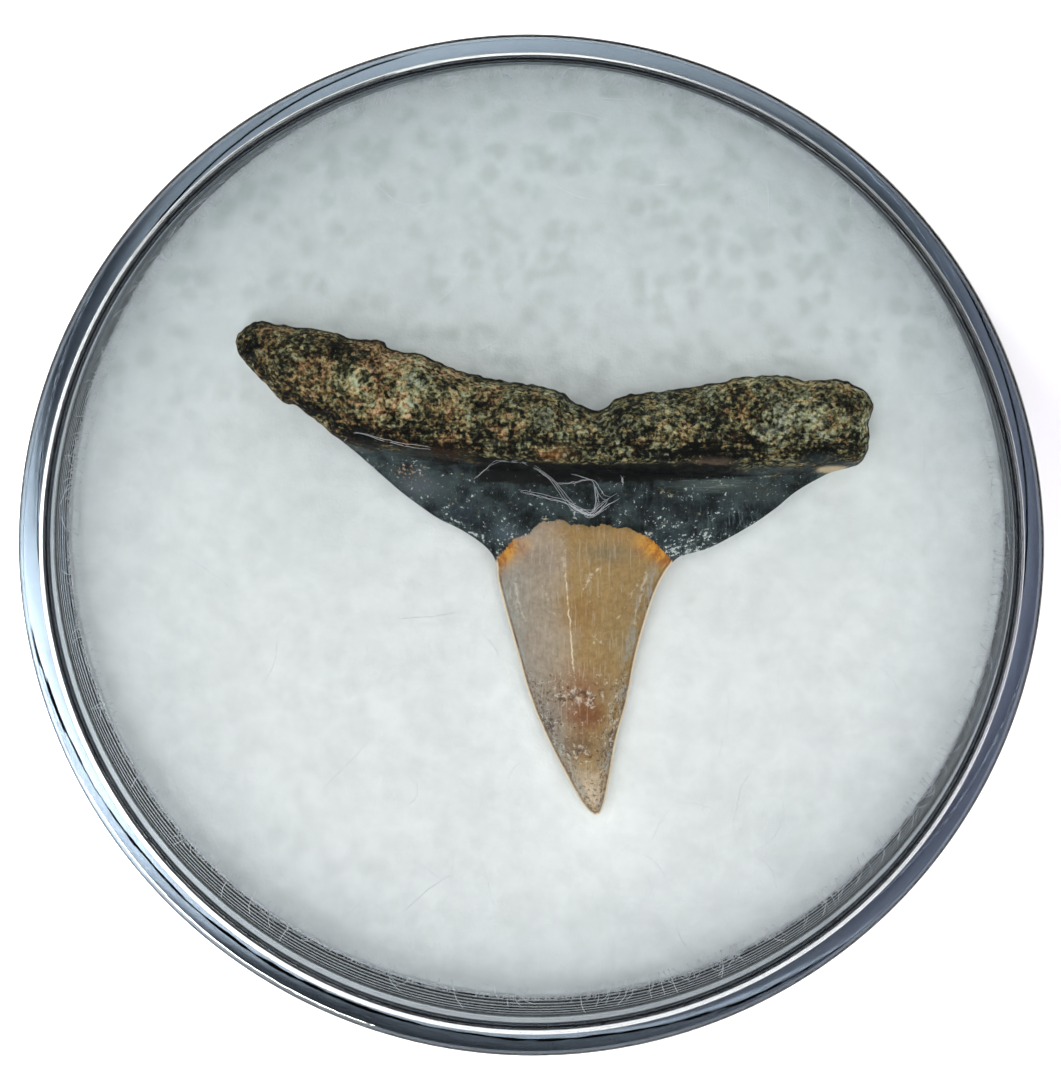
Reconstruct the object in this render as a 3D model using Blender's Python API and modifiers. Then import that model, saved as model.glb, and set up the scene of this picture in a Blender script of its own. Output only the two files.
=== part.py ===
"""A fossil lemon shark tooth on a white fibre pad, inside a closed round jar with a clear lid and a smoky base.

Metres, +Z up. The origin is the middle of the jar's underside. The tooth's root runs along X and its crown
points along -Y. The tooth is a loft: each section runs from the root's upper edge to the lower edge of the
shoulders and crown, with a front height and a back depth worked out from the distance to the outline.
"""

import math

import bpy
import numpy as np

MM = 0.001

# The jar: a lid whose deep skirt slides over the thin wall of the base, which ends just under the window.
JAR_RADIUS = 15.875 * MM
JAR_HEIGHT = 14.0 * MM
LID_WALL = 0.575 * MM
LID_TOP = 1.1 * MM
LID_FOOT_Z = 0.4 * MM
LID_EDGE_ROUND = 0.2 * MM
BASE_FLOOR = 1.0 * MM
BASE_CHAMFER = 0.3 * MM
BASE_GAP = 0.05 * MM
BASE_WALL = 0.25 * MM
BASE_TOP_Z = 12.6 * MM
BASE_RIM_BEVEL = 0.06 * MM
BASE_OUTER = JAR_RADIUS - LID_WALL - BASE_GAP
BASE_INNER = BASE_OUTER - BASE_WALL
JAR_STEPS = 64
ROUND_STEPS = 3

# The pad: a plug of fibre that fills the base to below its rim.
PAD_GAP = 0.3 * MM
PAD_TOP_Z = 9.0 * MM
PAD_ROUND = 0.35 * MM
PAD_STEPS = 64

# The tooth's outline in millimetres from the jar's axis. Both edges run from the left tip to the right end.
TOOTH_REST_Z = 9.3 * MM
UPPER_EDGE = (
    (-9.34, 6.23),
    (-9.24, 6.54),
    (-8.97, 6.78),
    (-8.67, 6.90),
    (-7.62, 6.78),
    (-6.57, 6.64),
    (-5.75, 6.40),
    (-4.81, 6.34),
    (-4.40, 6.02),
    (-3.42, 5.90),
    (-2.61, 5.50),
    (-1.38, 5.18),
    (-0.25, 4.97),
    (0.86, 4.75),
    (1.35, 4.34),
    (2.01, 4.15),
    (2.36, 4.28),
    (2.84, 4.60),
    (4.62, 4.79),
    (6.50, 5.17),
    (7.73, 5.26),
    (8.54, 5.11),
    (9.63, 5.15),
    (10.32, 4.83),
    (10.70, 4.37),
)
LOWER_EDGE = (
    (-9.34, 6.23),
    (-9.28, 5.92),
    (-9.04, 5.60),
    (-8.51, 5.01),
    (-7.81, 4.35),
    (-7.40, 4.25),
    (-6.46, 3.49),
    (-5.65, 2.79),
    (-4.69, 1.95),
    (-4.04, 1.40),
    (-3.06, 0.70),
    (-2.24, 0.29),
    (-1.48, -0.25),
    (-1.18, -0.73),
    (-1.15, -1.20),
    (-0.94, -2.06),
    (-0.60, -3.30),
    (-0.18, -4.81),
    (0.30, -6.05),
    (1.07, -7.59),
    (1.60, -8.48),
    (2.01, -8.80),
    (2.24, -8.48),
    (2.43, -7.58),
    (2.65, -6.33),
    (2.99, -5.07),
    (3.25, -3.71),
    (3.59, -2.45),
    (3.94, -1.46),
    (4.29, -0.86),
    (4.63, -0.52),
    (5.58, -0.22),
    (6.81, 0.45),
    (7.63, 1.02),
    (8.31, 1.58),
    (9.25, 2.12),
    (9.81, 2.29),
    (10.28, 2.48),
    (10.53, 3.00),
    (10.55, 3.83),
    (10.70, 4.37),
)
# Where chosen sections join the two edges: (point on the upper edge, point on the lower edge, section), by number.
SECTION_ENDS = (
    (0, 0, 0),
    (3, 3, 4),
    (5, 6, 10),
    (9, 9, 17),
    (12, 13, 24),
    (15, 21, 35),
    (18, 29, 46),
    (20, 33, 52),
    (22, 36, 59),
    (24, 40, 66),
)
SECTION_HALF_POINTS = 19
STEP_SHARE_LIMITS = (0.14, 0.66)
SHORTEST_SECTION = 0.01

# Lines across the face, as places along X and their heights along Y, in millimetres.
STEP_LINE = ((-9.32, -5.93, -1.64, 0.55, 7.81, 10.68), (4.73, 3.09, 2.66, 2.46, 2.39, 2.54))
ENAMEL_LINE = (
    (-1.23, -1.11, -0.7, -0.01, 0.34, 0.96, 1.5, 2.44, 3.26, 3.95, 4.3, 4.45),
    (-0.81, -0.55, -0.02, 0.4, 0.69, 0.71, 0.55, 0.56, 0.41, -0.06, -0.53, -0.79),
)
SCALLOP_HEIGHT = 0.04
SCALLOPS_PER_RADIAN = 9.0

# The root: how far its faces stand from its edge, in millimetres.
ROOT_FRONT = 1.9
ROOT_FRONT_AT_ENDS = 1.25
ROOT_BACK = 1.1
ROOT_EDGE_HEIGHT = 1.2
ROOT_ROUND = 1.5
ROOT_MIDDLE_X = 0.9
ROOT_HALF_LENGTH = 10.2
ROOT_TAPER_POWER = 1.5
STEP_WIDTH = 0.75
GROOVE_X = 1.97
GROOVE_HALF_WIDTH = 0.4
GROOVE_DEPTH = 0.22
LUMP_SIZE = 1.5
LUMP_HEIGHT = 0.2
PIT_SIZE = 0.8
PIT_DEPTH = 0.14
BACK_RELIEF_SHARE = 0.5
RELIEF_MARGIN = 0.5
EDGE_WAVE_SIZE = 2.6
EDGE_WAVE_HEIGHT = 0.16
NOISE_SEED = 7
NOISE_CELLS = 64

# The shoulders and the crown, which thins towards its tip and its two cutting edges.
SHOULDER_FRONT = 0.85
SHOULDER_BACK = 0.45
SHOULDER_WIDTH = 1.9
TROUGH_Y = 1.75
TROUGH_HALF_WIDTH = 0.45
TROUGH_DEPTH = 0.14
CROWN_EDGE_HEIGHT = 0.62
CROWN_EDGE_DROP = 0.12
CROWN_FRONT_AT_FOOT = 1.25
CROWN_FRONT_AT_TIP = 0.32
CROWN_BACK_AT_FOOT = 0.45
CROWN_BACK_AT_TIP = 0.2
CROWN_FOOT_Y = 0.35
CROWN_TIP_Y = -8.8
CROWN_MIDDLE_X = 1.6
CROWN_HALF_WIDTH = 2.15
TIP_HALF_WIDTH = 0.2
CROWN_TAPER_POWER = 0.9
CROWN_THIN_POWER = 1.15
CROWN_BLEND_ABOVE = 1.3
CROWN_BLEND_HEIGHT = 2.2
CROWN_REACH = 3.4
CROWN_REACH_FADE = 1.6
CUTTING_EDGE_POWER = 1.75
ENAMEL_STEP = 0.09
ENAMEL_STEP_WIDTH = 0.16

# Finishes.
TOOTH_COLOUR = (0.16, 0.12, 0.08)
TOOTH_ROUGHNESS = 0.45
PAD_COLOUR = (0.8, 0.82, 0.82)
PAD_ROUGHNESS = 0.95
CLEAR_COLOUR = (0.75, 0.8, 0.86)
SMOKY_COLOUR = (0.2, 0.22, 0.25)
PLASTIC_ROUGHNESS = 0.04
PLASTIC_IOR = 1.59
PLAIN_IOR = 1.5
SCREW_MERGE = 0.01 * MM


def clear_scene():
    """Remove every object that the opening scene holds."""
    for obj in list(bpy.data.objects):
        bpy.data.objects.remove(obj, do_unlink=True)


def make_collection(name):
    """A new collection under the scene's own."""
    collection = bpy.data.collections.new(name)
    bpy.context.scene.collection.children.link(collection)
    return collection


def make_material(name, colour, roughness, transmission=0.0, ior=PLAIN_IOR):
    """A Principled material with one colour."""
    material = bpy.data.materials.new(name)
    material.use_nodes = True
    shader = material.node_tree.nodes["Principled BSDF"]
    shader.inputs["Base Color"].default_value = (*colour, 1.0)
    shader.inputs["Roughness"].default_value = roughness
    shader.inputs["Metallic"].default_value = 0.0
    shader.inputs["Transmission Weight"].default_value = transmission
    shader.inputs["IOR"].default_value = ior
    material.diffuse_color = (*colour, 1.0)
    return material


def smooth_step(value):
    """The cubic that goes from 0 to 1 while the value does."""
    value = np.clip(value, 0.0, 1.0)
    return value * value * (3.0 - 2.0 * value)


def lattice_noise(x, y, size, seed):
    """Smooth noise from -1 to 1: random values on a square lattice of the given size, blended between corners."""
    values = np.random.default_rng(seed).uniform(-1.0, 1.0, (NOISE_CELLS, NOISE_CELLS))
    across, along = x / size + NOISE_CELLS / 2, y / size + NOISE_CELLS / 2
    column, row = np.floor(across).astype(int), np.floor(along).astype(int)
    right, up = smooth_step(across - column), smooth_step(along - row)
    lower = values[row, column] * (1 - right) + values[row, column + 1] * right
    upper = values[row + 1, column] * (1 - right) + values[row + 1, column + 1] * right
    return lower * (1 - up) + upper * up


def path_lengths(points):
    """How far along a broken line each of its points is."""
    steps = np.hypot(*np.diff(points, axis=0).T)
    return np.concatenate([[0.0], np.cumsum(steps)])


def distance_to_outline(x, y):
    """The distance from each place to the nearest side of the outline."""
    nearest = np.full(np.shape(x), np.inf)
    for edge in (np.array(UPPER_EDGE), np.array(LOWER_EDGE)):
        for start, end in zip(edge[:-1], edge[1:]):
            side = end - start
            share = ((x - start[0]) * side[0] + (y - start[1]) * side[1]) / (side @ side)
            share = np.clip(share, 0.0, 1.0)
            away = np.hypot(x - start[0] - share * side[0], y - start[1] - share * side[1])
            nearest = np.minimum(nearest, away)
    return nearest


def section_grid(half_points):
    """Places (x, y) on a grid: one row for each section, from the upper edge to the lower edge.

    Between the chosen sections the others are evenly spaced along both edges. Within a section the spacing follows
    half a cosine wave, so the points are close together where the faces turn over the edges. A power of it then puts
    the middle point on the line where the root steps down to the shoulders.
    """
    upper, lower = np.array(UPPER_EDGE), np.array(LOWER_EDGE)
    upper_length, lower_length = path_lengths(upper), path_lengths(lower)
    on_upper, on_lower, chosen = np.array(SECTION_ENDS).T
    section = np.arange(chosen[-1] + 1)
    upper_at = np.interp(section, chosen, upper_length[on_upper])
    lower_at = np.interp(section, chosen, lower_length[on_lower])
    top = np.stack([np.interp(upper_at, upper_length, upper[:, axis]) for axis in (0, 1)], axis=-1)
    foot = np.stack([np.interp(lower_at, lower_length, lower[:, axis]) for axis in (0, 1)], axis=-1)
    wave = 0.5 - 0.5 * np.cos(np.linspace(0.0, math.pi, half_points))
    height = np.maximum(top[:, 1] - foot[:, 1], SHORTEST_SECTION)
    step_at = np.clip((top[:, 1] - step_line(top[:, 0])) / height, *STEP_SHARE_LIMITS)
    down = wave[None, :] ** (np.log(step_at) / np.log(0.5))[:, None]
    return top[:, None, :] + (foot - top)[:, None, :] * down[:, :, None]


def step_line(x):
    """The height on the face where the porous root steps down to the smooth shoulders."""
    return np.interp(x, *STEP_LINE)


def enamel_line(x):
    """The scalloped upper margin of the crown's enamel."""
    return np.interp(x, *ENAMEL_LINE) + SCALLOP_HEIGHT * np.sin(SCALLOPS_PER_RADIAN * x)


def lens(share):
    """A face that rises from a sharp edge and levels out."""
    return 1.0 - (1.0 - np.clip(share, 0.0, 1.0)) ** CUTTING_EDGE_POWER


def dome(share):
    """A face that turns over a round edge: a quarter of a circle."""
    return np.sqrt(1.0 - (1.0 - np.clip(share, 0.0, 1.0)) ** 2)


def tooth_faces(x, y):
    """Front and back heights of the tooth, in millimetres above its lowest plane."""
    away = distance_to_outline(x, y)
    rooted = smooth_step((y - step_line(x)) / STEP_WIDTH + 0.5)
    down_crown = np.clip((CROWN_FOOT_Y - y) / (CROWN_FOOT_Y - CROWN_TIP_Y), 0.0, 1.0)
    crowned = smooth_step((CROWN_FOOT_Y + CROWN_BLEND_ABOVE - y) / CROWN_BLEND_HEIGHT)
    crowned = crowned * smooth_step((CROWN_REACH - abs(x - CROWN_MIDDLE_X)) / CROWN_REACH_FADE)
    half_width = TIP_HALF_WIDTH + CROWN_HALF_WIDTH * (1.0 - down_crown) ** CROWN_TAPER_POWER
    half_width = np.minimum(SHOULDER_WIDTH, half_width)

    to_end = np.clip(abs(x - ROOT_MIDDLE_X) / ROOT_HALF_LENGTH, 0.0, 1.0) ** ROOT_TAPER_POWER
    root_front = ROOT_FRONT + (ROOT_FRONT_AT_ENDS - ROOT_FRONT) * to_end
    thinned = down_crown**CROWN_THIN_POWER
    crown_front = CROWN_FRONT_AT_FOOT + (CROWN_FRONT_AT_TIP - CROWN_FRONT_AT_FOOT) * thinned
    crown_back = CROWN_BACK_AT_FOOT + (CROWN_BACK_AT_TIP - CROWN_BACK_AT_FOOT) * down_crown
    smooth_front = SHOULDER_FRONT + (crown_front - SHOULDER_FRONT) * crowned
    smooth_back = SHOULDER_BACK + (crown_back - SHOULDER_BACK) * crowned

    edge_height = CROWN_EDGE_HEIGHT - CROWN_EDGE_DROP * down_crown
    edge_height = edge_height + (ROOT_EDGE_HEIGHT - CROWN_EDGE_HEIGHT) * rooted
    edge_height = edge_height + EDGE_WAVE_HEIGHT * rooted * lattice_noise(x, y, EDGE_WAVE_SIZE, NOISE_SEED + 2)
    cutting = lens(away / half_width)
    rounded = dome(away / ROOT_ROUND)
    front = smooth_front * cutting * (1 - rooted) + root_front * rounded * rooted
    back = smooth_back * cutting * (1 - rooted) + ROOT_BACK * rounded * rooted

    inside = smooth_step(away / RELIEF_MARGIN)
    enamel = smooth_step((enamel_line(x) - y) / ENAMEL_STEP_WIDTH + 0.5)
    front = front + ENAMEL_STEP * enamel * inside
    groove = np.exp(-(((x - GROOVE_X) / GROOVE_HALF_WIDTH) ** 2)) * rooted
    front = front - GROOVE_DEPTH * groove * inside
    trough = np.exp(-(((y - TROUGH_Y) / TROUGH_HALF_WIDTH) ** 2)) * (1 - rooted)
    front = front - TROUGH_DEPTH * trough * inside
    lumps = lattice_noise(x, y, LUMP_SIZE, NOISE_SEED)
    pits = np.minimum(lattice_noise(x, y, PIT_SIZE, NOISE_SEED + 1), 0.0)
    relief = (LUMP_HEIGHT * lumps + PIT_DEPTH * pits) * rooted * inside
    front = front + relief
    back = back + BACK_RELIEF_SHARE * relief
    return edge_height + front, edge_height - back


def closed_loft(grid, front, back):
    """Vertices and faces of the solid whose sections run down the front and back up the back, with a point at
    each end. Both faces share their points on the outline."""
    sections, half_points = front.shape
    ring = 2 * (half_points - 1)
    inner = slice(1, sections - 1)
    face_front = np.dstack([grid[inner], front[inner]])
    face_back = np.dstack([grid[inner], back[inner]])[:, half_points - 2 : 0 : -1]
    rings = np.concatenate([face_front, face_back], axis=1)
    ends = [np.append(grid[end, 0], front[end, 0]) for end in (0, -1)]
    points = np.concatenate([ends[:1], rings.reshape(-1, 3), ends[1:]])
    faces = []
    last = len(points) - 1
    for place in range(ring):
        after = (place + 1) % ring
        faces.append((0, 1 + after, 1 + place))
        for section in range(sections - 3):
            here, there = 1 + section * ring, 1 + (section + 1) * ring
            faces.append((here + place, here + after, there + after, there + place))
        end = 1 + (sections - 3) * ring
        faces.append((last, end + place, end + after))
    return points, faces


def make_tooth(collection, material):
    """The tooth: root, shoulders and crown in one solid."""
    grid = section_grid(SECTION_HALF_POINTS)
    front, back = tooth_faces(grid[..., 0], grid[..., 1])
    lowest = back.min()
    points, faces = closed_loft(grid, front - lowest, back - lowest)
    points = points * MM + np.array([0.0, 0.0, TOOTH_REST_Z])
    mesh = bpy.data.meshes.new("tooth")
    mesh.from_pydata(points.tolist(), [], faces)
    mesh.materials.append(material)
    mesh.shade_smooth()
    tooth = bpy.data.objects.new("tooth", mesh)
    collection.objects.link(tooth)
    return tooth


def arc(centre_r, centre_z, radius, start, end):
    """Points (radius, height) on a quarter turn, angles in degrees."""
    angles = np.radians(np.linspace(start, end, ROUND_STEPS + 1))
    return [(centre_r + radius * math.cos(angle), centre_z + radius * math.sin(angle)) for angle in angles]


def turned(name, profile, steps, collection, material):
    """A turned piece: the profile, from the axis at the top down its outer side, swept by a Screw modifier."""
    mesh = bpy.data.meshes.new(name)
    points = [(radius, 0.0, height) for radius, height in profile]
    mesh.from_pydata(points, [(i, i + 1) for i in range(len(points) - 1)], [])
    mesh.materials.append(material)
    piece = bpy.data.objects.new(name, mesh)
    collection.objects.link(piece)
    screw = piece.modifiers.new("turn", "SCREW")
    screw.steps = steps
    screw.render_steps = steps
    screw.use_merge_vertices = True
    screw.merge_threshold = SCREW_MERGE
    screw.use_smooth_shade = True
    return piece


def make_lid(collection, material):
    """The lid: a flat window with a rounded outer edge, and the skirt that slides over the base."""
    inner = JAR_RADIUS - LID_WALL
    under = JAR_HEIGHT - LID_TOP
    edge = LID_EDGE_ROUND
    profile = [(0.0, JAR_HEIGHT)]
    profile += arc(JAR_RADIUS - edge, JAR_HEIGHT - edge, edge, 90, 0)
    profile += [(JAR_RADIUS, LID_FOOT_Z), (inner, LID_FOOT_Z), (inner, under), (0.0, under)]
    return turned("jar_lid", profile, JAR_STEPS, collection, material)


def make_base(collection, material):
    """The base: a floor, and a thin straight wall that ends in a rim with small bevels under the window."""
    profile = [
        (0.0, BASE_FLOOR),
        (BASE_INNER - BASE_CHAMFER, BASE_FLOOR),
        (BASE_INNER, BASE_FLOOR + BASE_CHAMFER),
        (BASE_INNER, BASE_TOP_Z - BASE_RIM_BEVEL),
        (BASE_INNER + BASE_RIM_BEVEL, BASE_TOP_Z),
        (BASE_OUTER - BASE_RIM_BEVEL, BASE_TOP_Z),
        (BASE_OUTER, BASE_TOP_Z - BASE_RIM_BEVEL),
        (BASE_OUTER, BASE_CHAMFER),
        (BASE_OUTER - BASE_CHAMFER, 0.0),
        (0.0, 0.0),
    ]
    return turned("jar_base", profile, JAR_STEPS, collection, material)


def make_pad(collection, material):
    """The fibre pad: a plug with a rounded upper edge, clear of the base's floor and wall."""
    radius = BASE_INNER - PAD_GAP
    profile = [(0.0, PAD_TOP_Z)]
    profile += arc(radius - PAD_ROUND, PAD_TOP_Z - PAD_ROUND, PAD_ROUND, 90, 0)
    profile += [
        (radius, BASE_FLOOR + PAD_GAP + BASE_CHAMFER),
        (radius - BASE_CHAMFER, BASE_FLOOR + PAD_GAP),
        (0.0, BASE_FLOOR + PAD_GAP),
    ]
    return turned("fibre_pad", profile, PAD_STEPS, collection, material)


def main():
    """Build the four pieces."""
    clear_scene()
    pieces = make_collection("fossil_tooth_in_jar")
    fossil = make_material("fossil_tooth", TOOTH_COLOUR, TOOTH_ROUGHNESS)
    felt = make_material("white_fibre", PAD_COLOUR, PAD_ROUGHNESS)
    clear = make_material("clear_plastic", CLEAR_COLOUR, PLASTIC_ROUGHNESS, transmission=1.0, ior=PLASTIC_IOR)
    smoky = make_material("smoky_plastic", SMOKY_COLOUR, PLASTIC_ROUGHNESS, transmission=1.0, ior=PLASTIC_IOR)
    make_tooth(pieces, fossil)
    make_pad(pieces, felt)
    make_base(pieces, smoky)
    make_lid(pieces, clear)


main()
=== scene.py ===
"""The finish of a fossil lemon shark tooth that lies on a felt pad in a closed round clear jar.

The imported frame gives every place. The script adds the tooth's fine surface, the felt pad and its fibres, the
clear lid and base, the floor, the light and the camera. Lengths are millimetres where nothing else is said.
"""

import math

import bpy
import numpy as np
from bpy.props import FloatProperty, FloatVectorProperty, IntProperty, PointerProperty
from mathutils import Matrix, Vector


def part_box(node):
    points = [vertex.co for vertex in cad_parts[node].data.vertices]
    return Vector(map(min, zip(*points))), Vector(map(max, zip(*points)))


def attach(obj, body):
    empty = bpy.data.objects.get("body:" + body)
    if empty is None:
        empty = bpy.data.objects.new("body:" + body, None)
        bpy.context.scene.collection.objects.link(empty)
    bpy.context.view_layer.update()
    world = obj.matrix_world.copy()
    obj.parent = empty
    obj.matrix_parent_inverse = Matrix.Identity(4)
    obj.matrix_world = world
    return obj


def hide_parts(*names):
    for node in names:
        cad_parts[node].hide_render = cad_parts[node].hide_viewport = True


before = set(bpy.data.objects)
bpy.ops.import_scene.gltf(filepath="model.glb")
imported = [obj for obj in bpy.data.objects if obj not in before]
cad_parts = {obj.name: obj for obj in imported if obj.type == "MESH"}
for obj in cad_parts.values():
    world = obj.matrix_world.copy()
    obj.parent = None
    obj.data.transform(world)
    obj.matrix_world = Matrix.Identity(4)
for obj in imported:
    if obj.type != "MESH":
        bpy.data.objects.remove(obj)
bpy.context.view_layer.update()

bl_info = {
    "name": "Fossil Tooth in a Jar",
    "version": (1, 0, 0),
    "blender": (4, 5, 0),
    "location": "View3D > Sidebar > Fossil Tooth",
    "description": "Makes a fossil shark tooth on a felt pad in a closed round clear jar",
    "category": "Add Mesh",
}

MM = 0.001
BODY = "root"


def rgb(red, green, blue):
    """A colour given as screen values from 0 to 255, as linear red, green and blue."""
    share = np.array([red, green, blue]) / 255.0
    linear = np.where(share <= 0.04045, share / 12.92, ((share + 0.055) / 1.055) ** 2.4)
    return tuple(float(value) for value in linear)


# The jar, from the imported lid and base.
LID_LOW, LID_HIGH = [np.array(corner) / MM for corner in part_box("jar_lid")]
PAD_FOOT_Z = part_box("fibre_pad")[0][2] / MM
JAR_RADIUS = LID_HIGH[0]
JAR_HEIGHT = LID_HIGH[2]
LID_WALL = 0.575
LID_TOP = 1.1
LID_FOOT_Z = LID_LOW[2]
BASE_FLOOR = 1.0
BASE_GAP = 0.05
BASE_WALL = 0.25
BASE_OUTER = JAR_RADIUS - LID_WALL - BASE_GAP
BASE_INNER = BASE_OUTER - BASE_WALL
BASE_TOP_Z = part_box("jar_base")[1][2] / MM

# The tooth's outline. Both edges run from the left tip to the right end.
UPPER_EDGE = (
    (-9.34, 6.23), (-9.24, 6.54), (-8.97, 6.78), (-8.67, 6.90), (-7.62, 6.78), (-6.57, 6.64),
    (-5.75, 6.40), (-4.81, 6.34), (-4.40, 6.02), (-3.42, 5.90), (-2.61, 5.50), (-1.38, 5.18),
    (-0.25, 4.97), (0.86, 4.75), (1.35, 4.34), (2.01, 4.15), (2.36, 4.28), (2.84, 4.60),
    (4.62, 4.79), (6.50, 5.17), (7.73, 5.26), (8.54, 5.11), (9.63, 5.15), (10.32, 4.83),
    (10.70, 4.37),
)
LOWER_EDGE = (
    (-9.34, 6.23), (-9.28, 5.92), (-9.04, 5.60), (-8.51, 5.01), (-7.81, 4.35), (-7.40, 4.25),
    (-6.46, 3.49), (-5.65, 2.79), (-4.69, 1.95), (-4.04, 1.40), (-3.06, 0.70), (-2.24, 0.29),
    (-1.48, -0.25), (-1.18, -0.73), (-1.15, -1.20), (-0.94, -2.06), (-0.60, -3.30), (-0.18, -4.81),
    (0.30, -6.05), (1.07, -7.59), (1.60, -8.48), (2.01, -8.80), (2.24, -8.48), (2.43, -7.58),
    (2.65, -6.33), (2.99, -5.07), (3.25, -3.71), (3.59, -2.45), (3.94, -1.46), (4.29, -0.86),
    (4.63, -0.52), (5.58, -0.22), (6.81, 0.45), (7.63, 1.02), (8.31, 1.58), (9.25, 2.12),
    (9.81, 2.29), (10.28, 2.48), (10.53, 3.00), (10.55, 3.83), (10.70, 4.37),
)
# Chosen sections, by number: the upper edge's point that each joins, the lower edge's, and the section.
SECTION_ENDS = (
    (0, 0, 0), (3, 3, 4), (5, 6, 10), (9, 9, 17), (12, 13, 24), (15, 21, 35),
    (18, 29, 46), (20, 33, 52), (22, 36, 59), (24, 40, 66),
)
STEP_SHARE_LIMITS = (0.14, 0.66)
SHORTEST_SECTION = 0.01
OUTLINE_STEPS = 6
SECTIONS = 360
FRONT_POINTS = 190
BACK_POINTS = 70

# Lines across the face, as places along X and their heights along Y.
STEP_LINE = ((-9.32, -5.93, -1.64, 0.55, 7.81, 10.68), (4.73, 3.09, 2.66, 2.46, 2.39, 2.54))
ENAMEL_LINE = (
    (-1.23, -1.11, -0.7, -0.01, 0.34, 0.96, 1.5, 2.44, 3.26, 3.95, 4.3, 4.45),
    (-0.81, -0.55, -0.02, 0.4, 0.69, 0.71, 0.55, 0.56, 0.41, -0.06, -0.53, -0.79),
)
SCALLOP_HEIGHT = 0.04
SCALLOPS_PER_RADIAN = 9.0

# The tooth's body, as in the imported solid.
TOOTH_REST_Z = 9.3
ROOT_FRONT = 1.9
ROOT_FRONT_AT_ENDS = 1.25
ROOT_BACK = 1.1
ROOT_EDGE_HEIGHT = 1.2
ROOT_ROUND = 1.5
ROOT_MIDDLE_X = 0.9
ROOT_HALF_LENGTH = 10.2
ROOT_TAPER_POWER = 1.5
STEP_WIDTH = 0.75
GROOVE_X = 1.97
GROOVE_HALF_WIDTH = 0.4
GROOVE_DEPTH = 0.22
LUMP_SIZE = 1.5
LUMP_HEIGHT = 0.2
PIT_SIZE = 0.8
PIT_DEPTH = 0.14
BACK_RELIEF_SHARE = 0.5
RELIEF_MARGIN = 0.5
EDGE_WAVE_SIZE = 2.6
EDGE_WAVE_HEIGHT = 0.16
NOISE_SEED = 7
NOISE_CELLS = 64
CELL_JITTER = (0.1, 0.9)
SHOULDER_FRONT = 0.85
SHOULDER_BACK = 0.45
SHOULDER_WIDTH = 1.9
TROUGH_Y = 1.75
TROUGH_HALF_WIDTH = 0.45
TROUGH_DEPTH = 0.14
CROWN_EDGE_HEIGHT = 0.62
CROWN_EDGE_DROP = 0.12
CROWN_FRONT_AT_FOOT = 1.25
CROWN_FRONT_AT_TIP = 0.32
CROWN_BACK_AT_FOOT = 0.45
CROWN_BACK_AT_TIP = 0.2
CROWN_FOOT_Y = 0.35
CROWN_TIP_Y = -8.8
CROWN_MIDDLE_X = 1.6
CROWN_HALF_WIDTH = 2.15
TIP_HALF_WIDTH = 0.2
CROWN_TAPER_POWER = 0.9
CROWN_THIN_POWER = 1.15
CROWN_BLEND_ABOVE = 1.3
CROWN_BLEND_HEIGHT = 2.2
CROWN_REACH = 3.4
CROWN_REACH_FADE = 1.6
CUTTING_EDGE_POWER = 1.75
ENAMEL_STEP = 0.09
ENAMEL_STEP_WIDTH = 0.16
EDGE_ROUGHNESS = 0.035
ROUGHENINGS = ((0.21, 18), (0.17, 19), (0.5, 20))

# The tooth's fine relief: the height and the size of each kind of mark.
RELIEF_FADE = 0.12
BACK_FINE_SHARE = 0.5
GRAIN_HEIGHT, GRAIN_SIZE = 0.05, 0.19
COARSE_HEIGHT, COARSE_SIZE = 0.07, 0.42
PORE_DEPTH, PORE_SIZE, PORE_LEVEL = 0.16, 0.27, 0.3
STREAK_HEIGHT, STREAK_SIZE, STREAK_STRETCH, STREAK_LEAN = 0.08, 0.16, 7.0, 0.06
STREAKS_ABOVE_STEP, STREAKS_REACH = 0.75, 0.9
STRIATION_HEIGHT, STRIATION_SIZE, STRIATION_STRETCH = 0.012, 0.09, 5.0
SWELL_HEIGHT, SWELL_SIZE = 0.02, 0.5
ENAMEL_RIDGE_HEIGHT, ENAMEL_RIDGE_SIZE, ENAMEL_RIDGE_STRETCH = 0.006, 0.11, 9.0

# The crown's long crack: the groove's places along Y and X, its ends, and the pale line drawn along it.
CRACK_LINE = ((-5.0, -3.6, -2.2, -1.2, -0.4), (1.12, 1.02, 0.96, 0.98, 1.05))
CRACK_DEPTH = 0.035
CRACK_HALF_WIDTH = 0.05
CRACK_FOOT_Y, CRACK_FOOT_FADE = -5.2, 0.5
CRACK_TOP_Y, CRACK_TOP_FADE = -0.5, 0.4
CROWN_LEAN = 0.081
PALE_CRACK_X = 0.98

# Painted shadow under the root's step, near black: where it starts and ends, below the step and along X.
STEP_SHADOW_TOP, STEP_SHADOW_TOP_FADE = -0.3, 0.3
STEP_SHADOW_FOOT, STEP_SHADOW_FOOT_FADE, STEP_SHADOW_NARROWING = 0.85, 0.35, 0.05
STEP_SHADOW_LEFT_X, STEP_SHADOW_LEFT_FADE = -2.0, 0.5
STEP_SHADOW_RIGHT_X, STEP_SHADOW_RIGHT_FADE = 7.8, 2.6
# The orange border under the enamel line widens away from the crown's middle.
BORDER_WIDTH, BORDER_WIDENING = 0.32, 0.11
# Pale dust lies on the shoulders, mostly low down, less in the painted step shadow, hardly on the enamel.
DUST_EVERYWHERE, DUST_LOW, DUST_LOW_Y = 0.45, 0.55, 1.1
DUST_LOST_IN_STEP_SHADOW, DUST_ON_ENAMEL = 0.75, 0.08
# Above the step the root's streaks are darker on the whole, partly a painted shade.
STREAKS_AND_SHADE_MIDDLE, STREAKS_AND_SHADE_REACH = 0.7, 0.85

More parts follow.
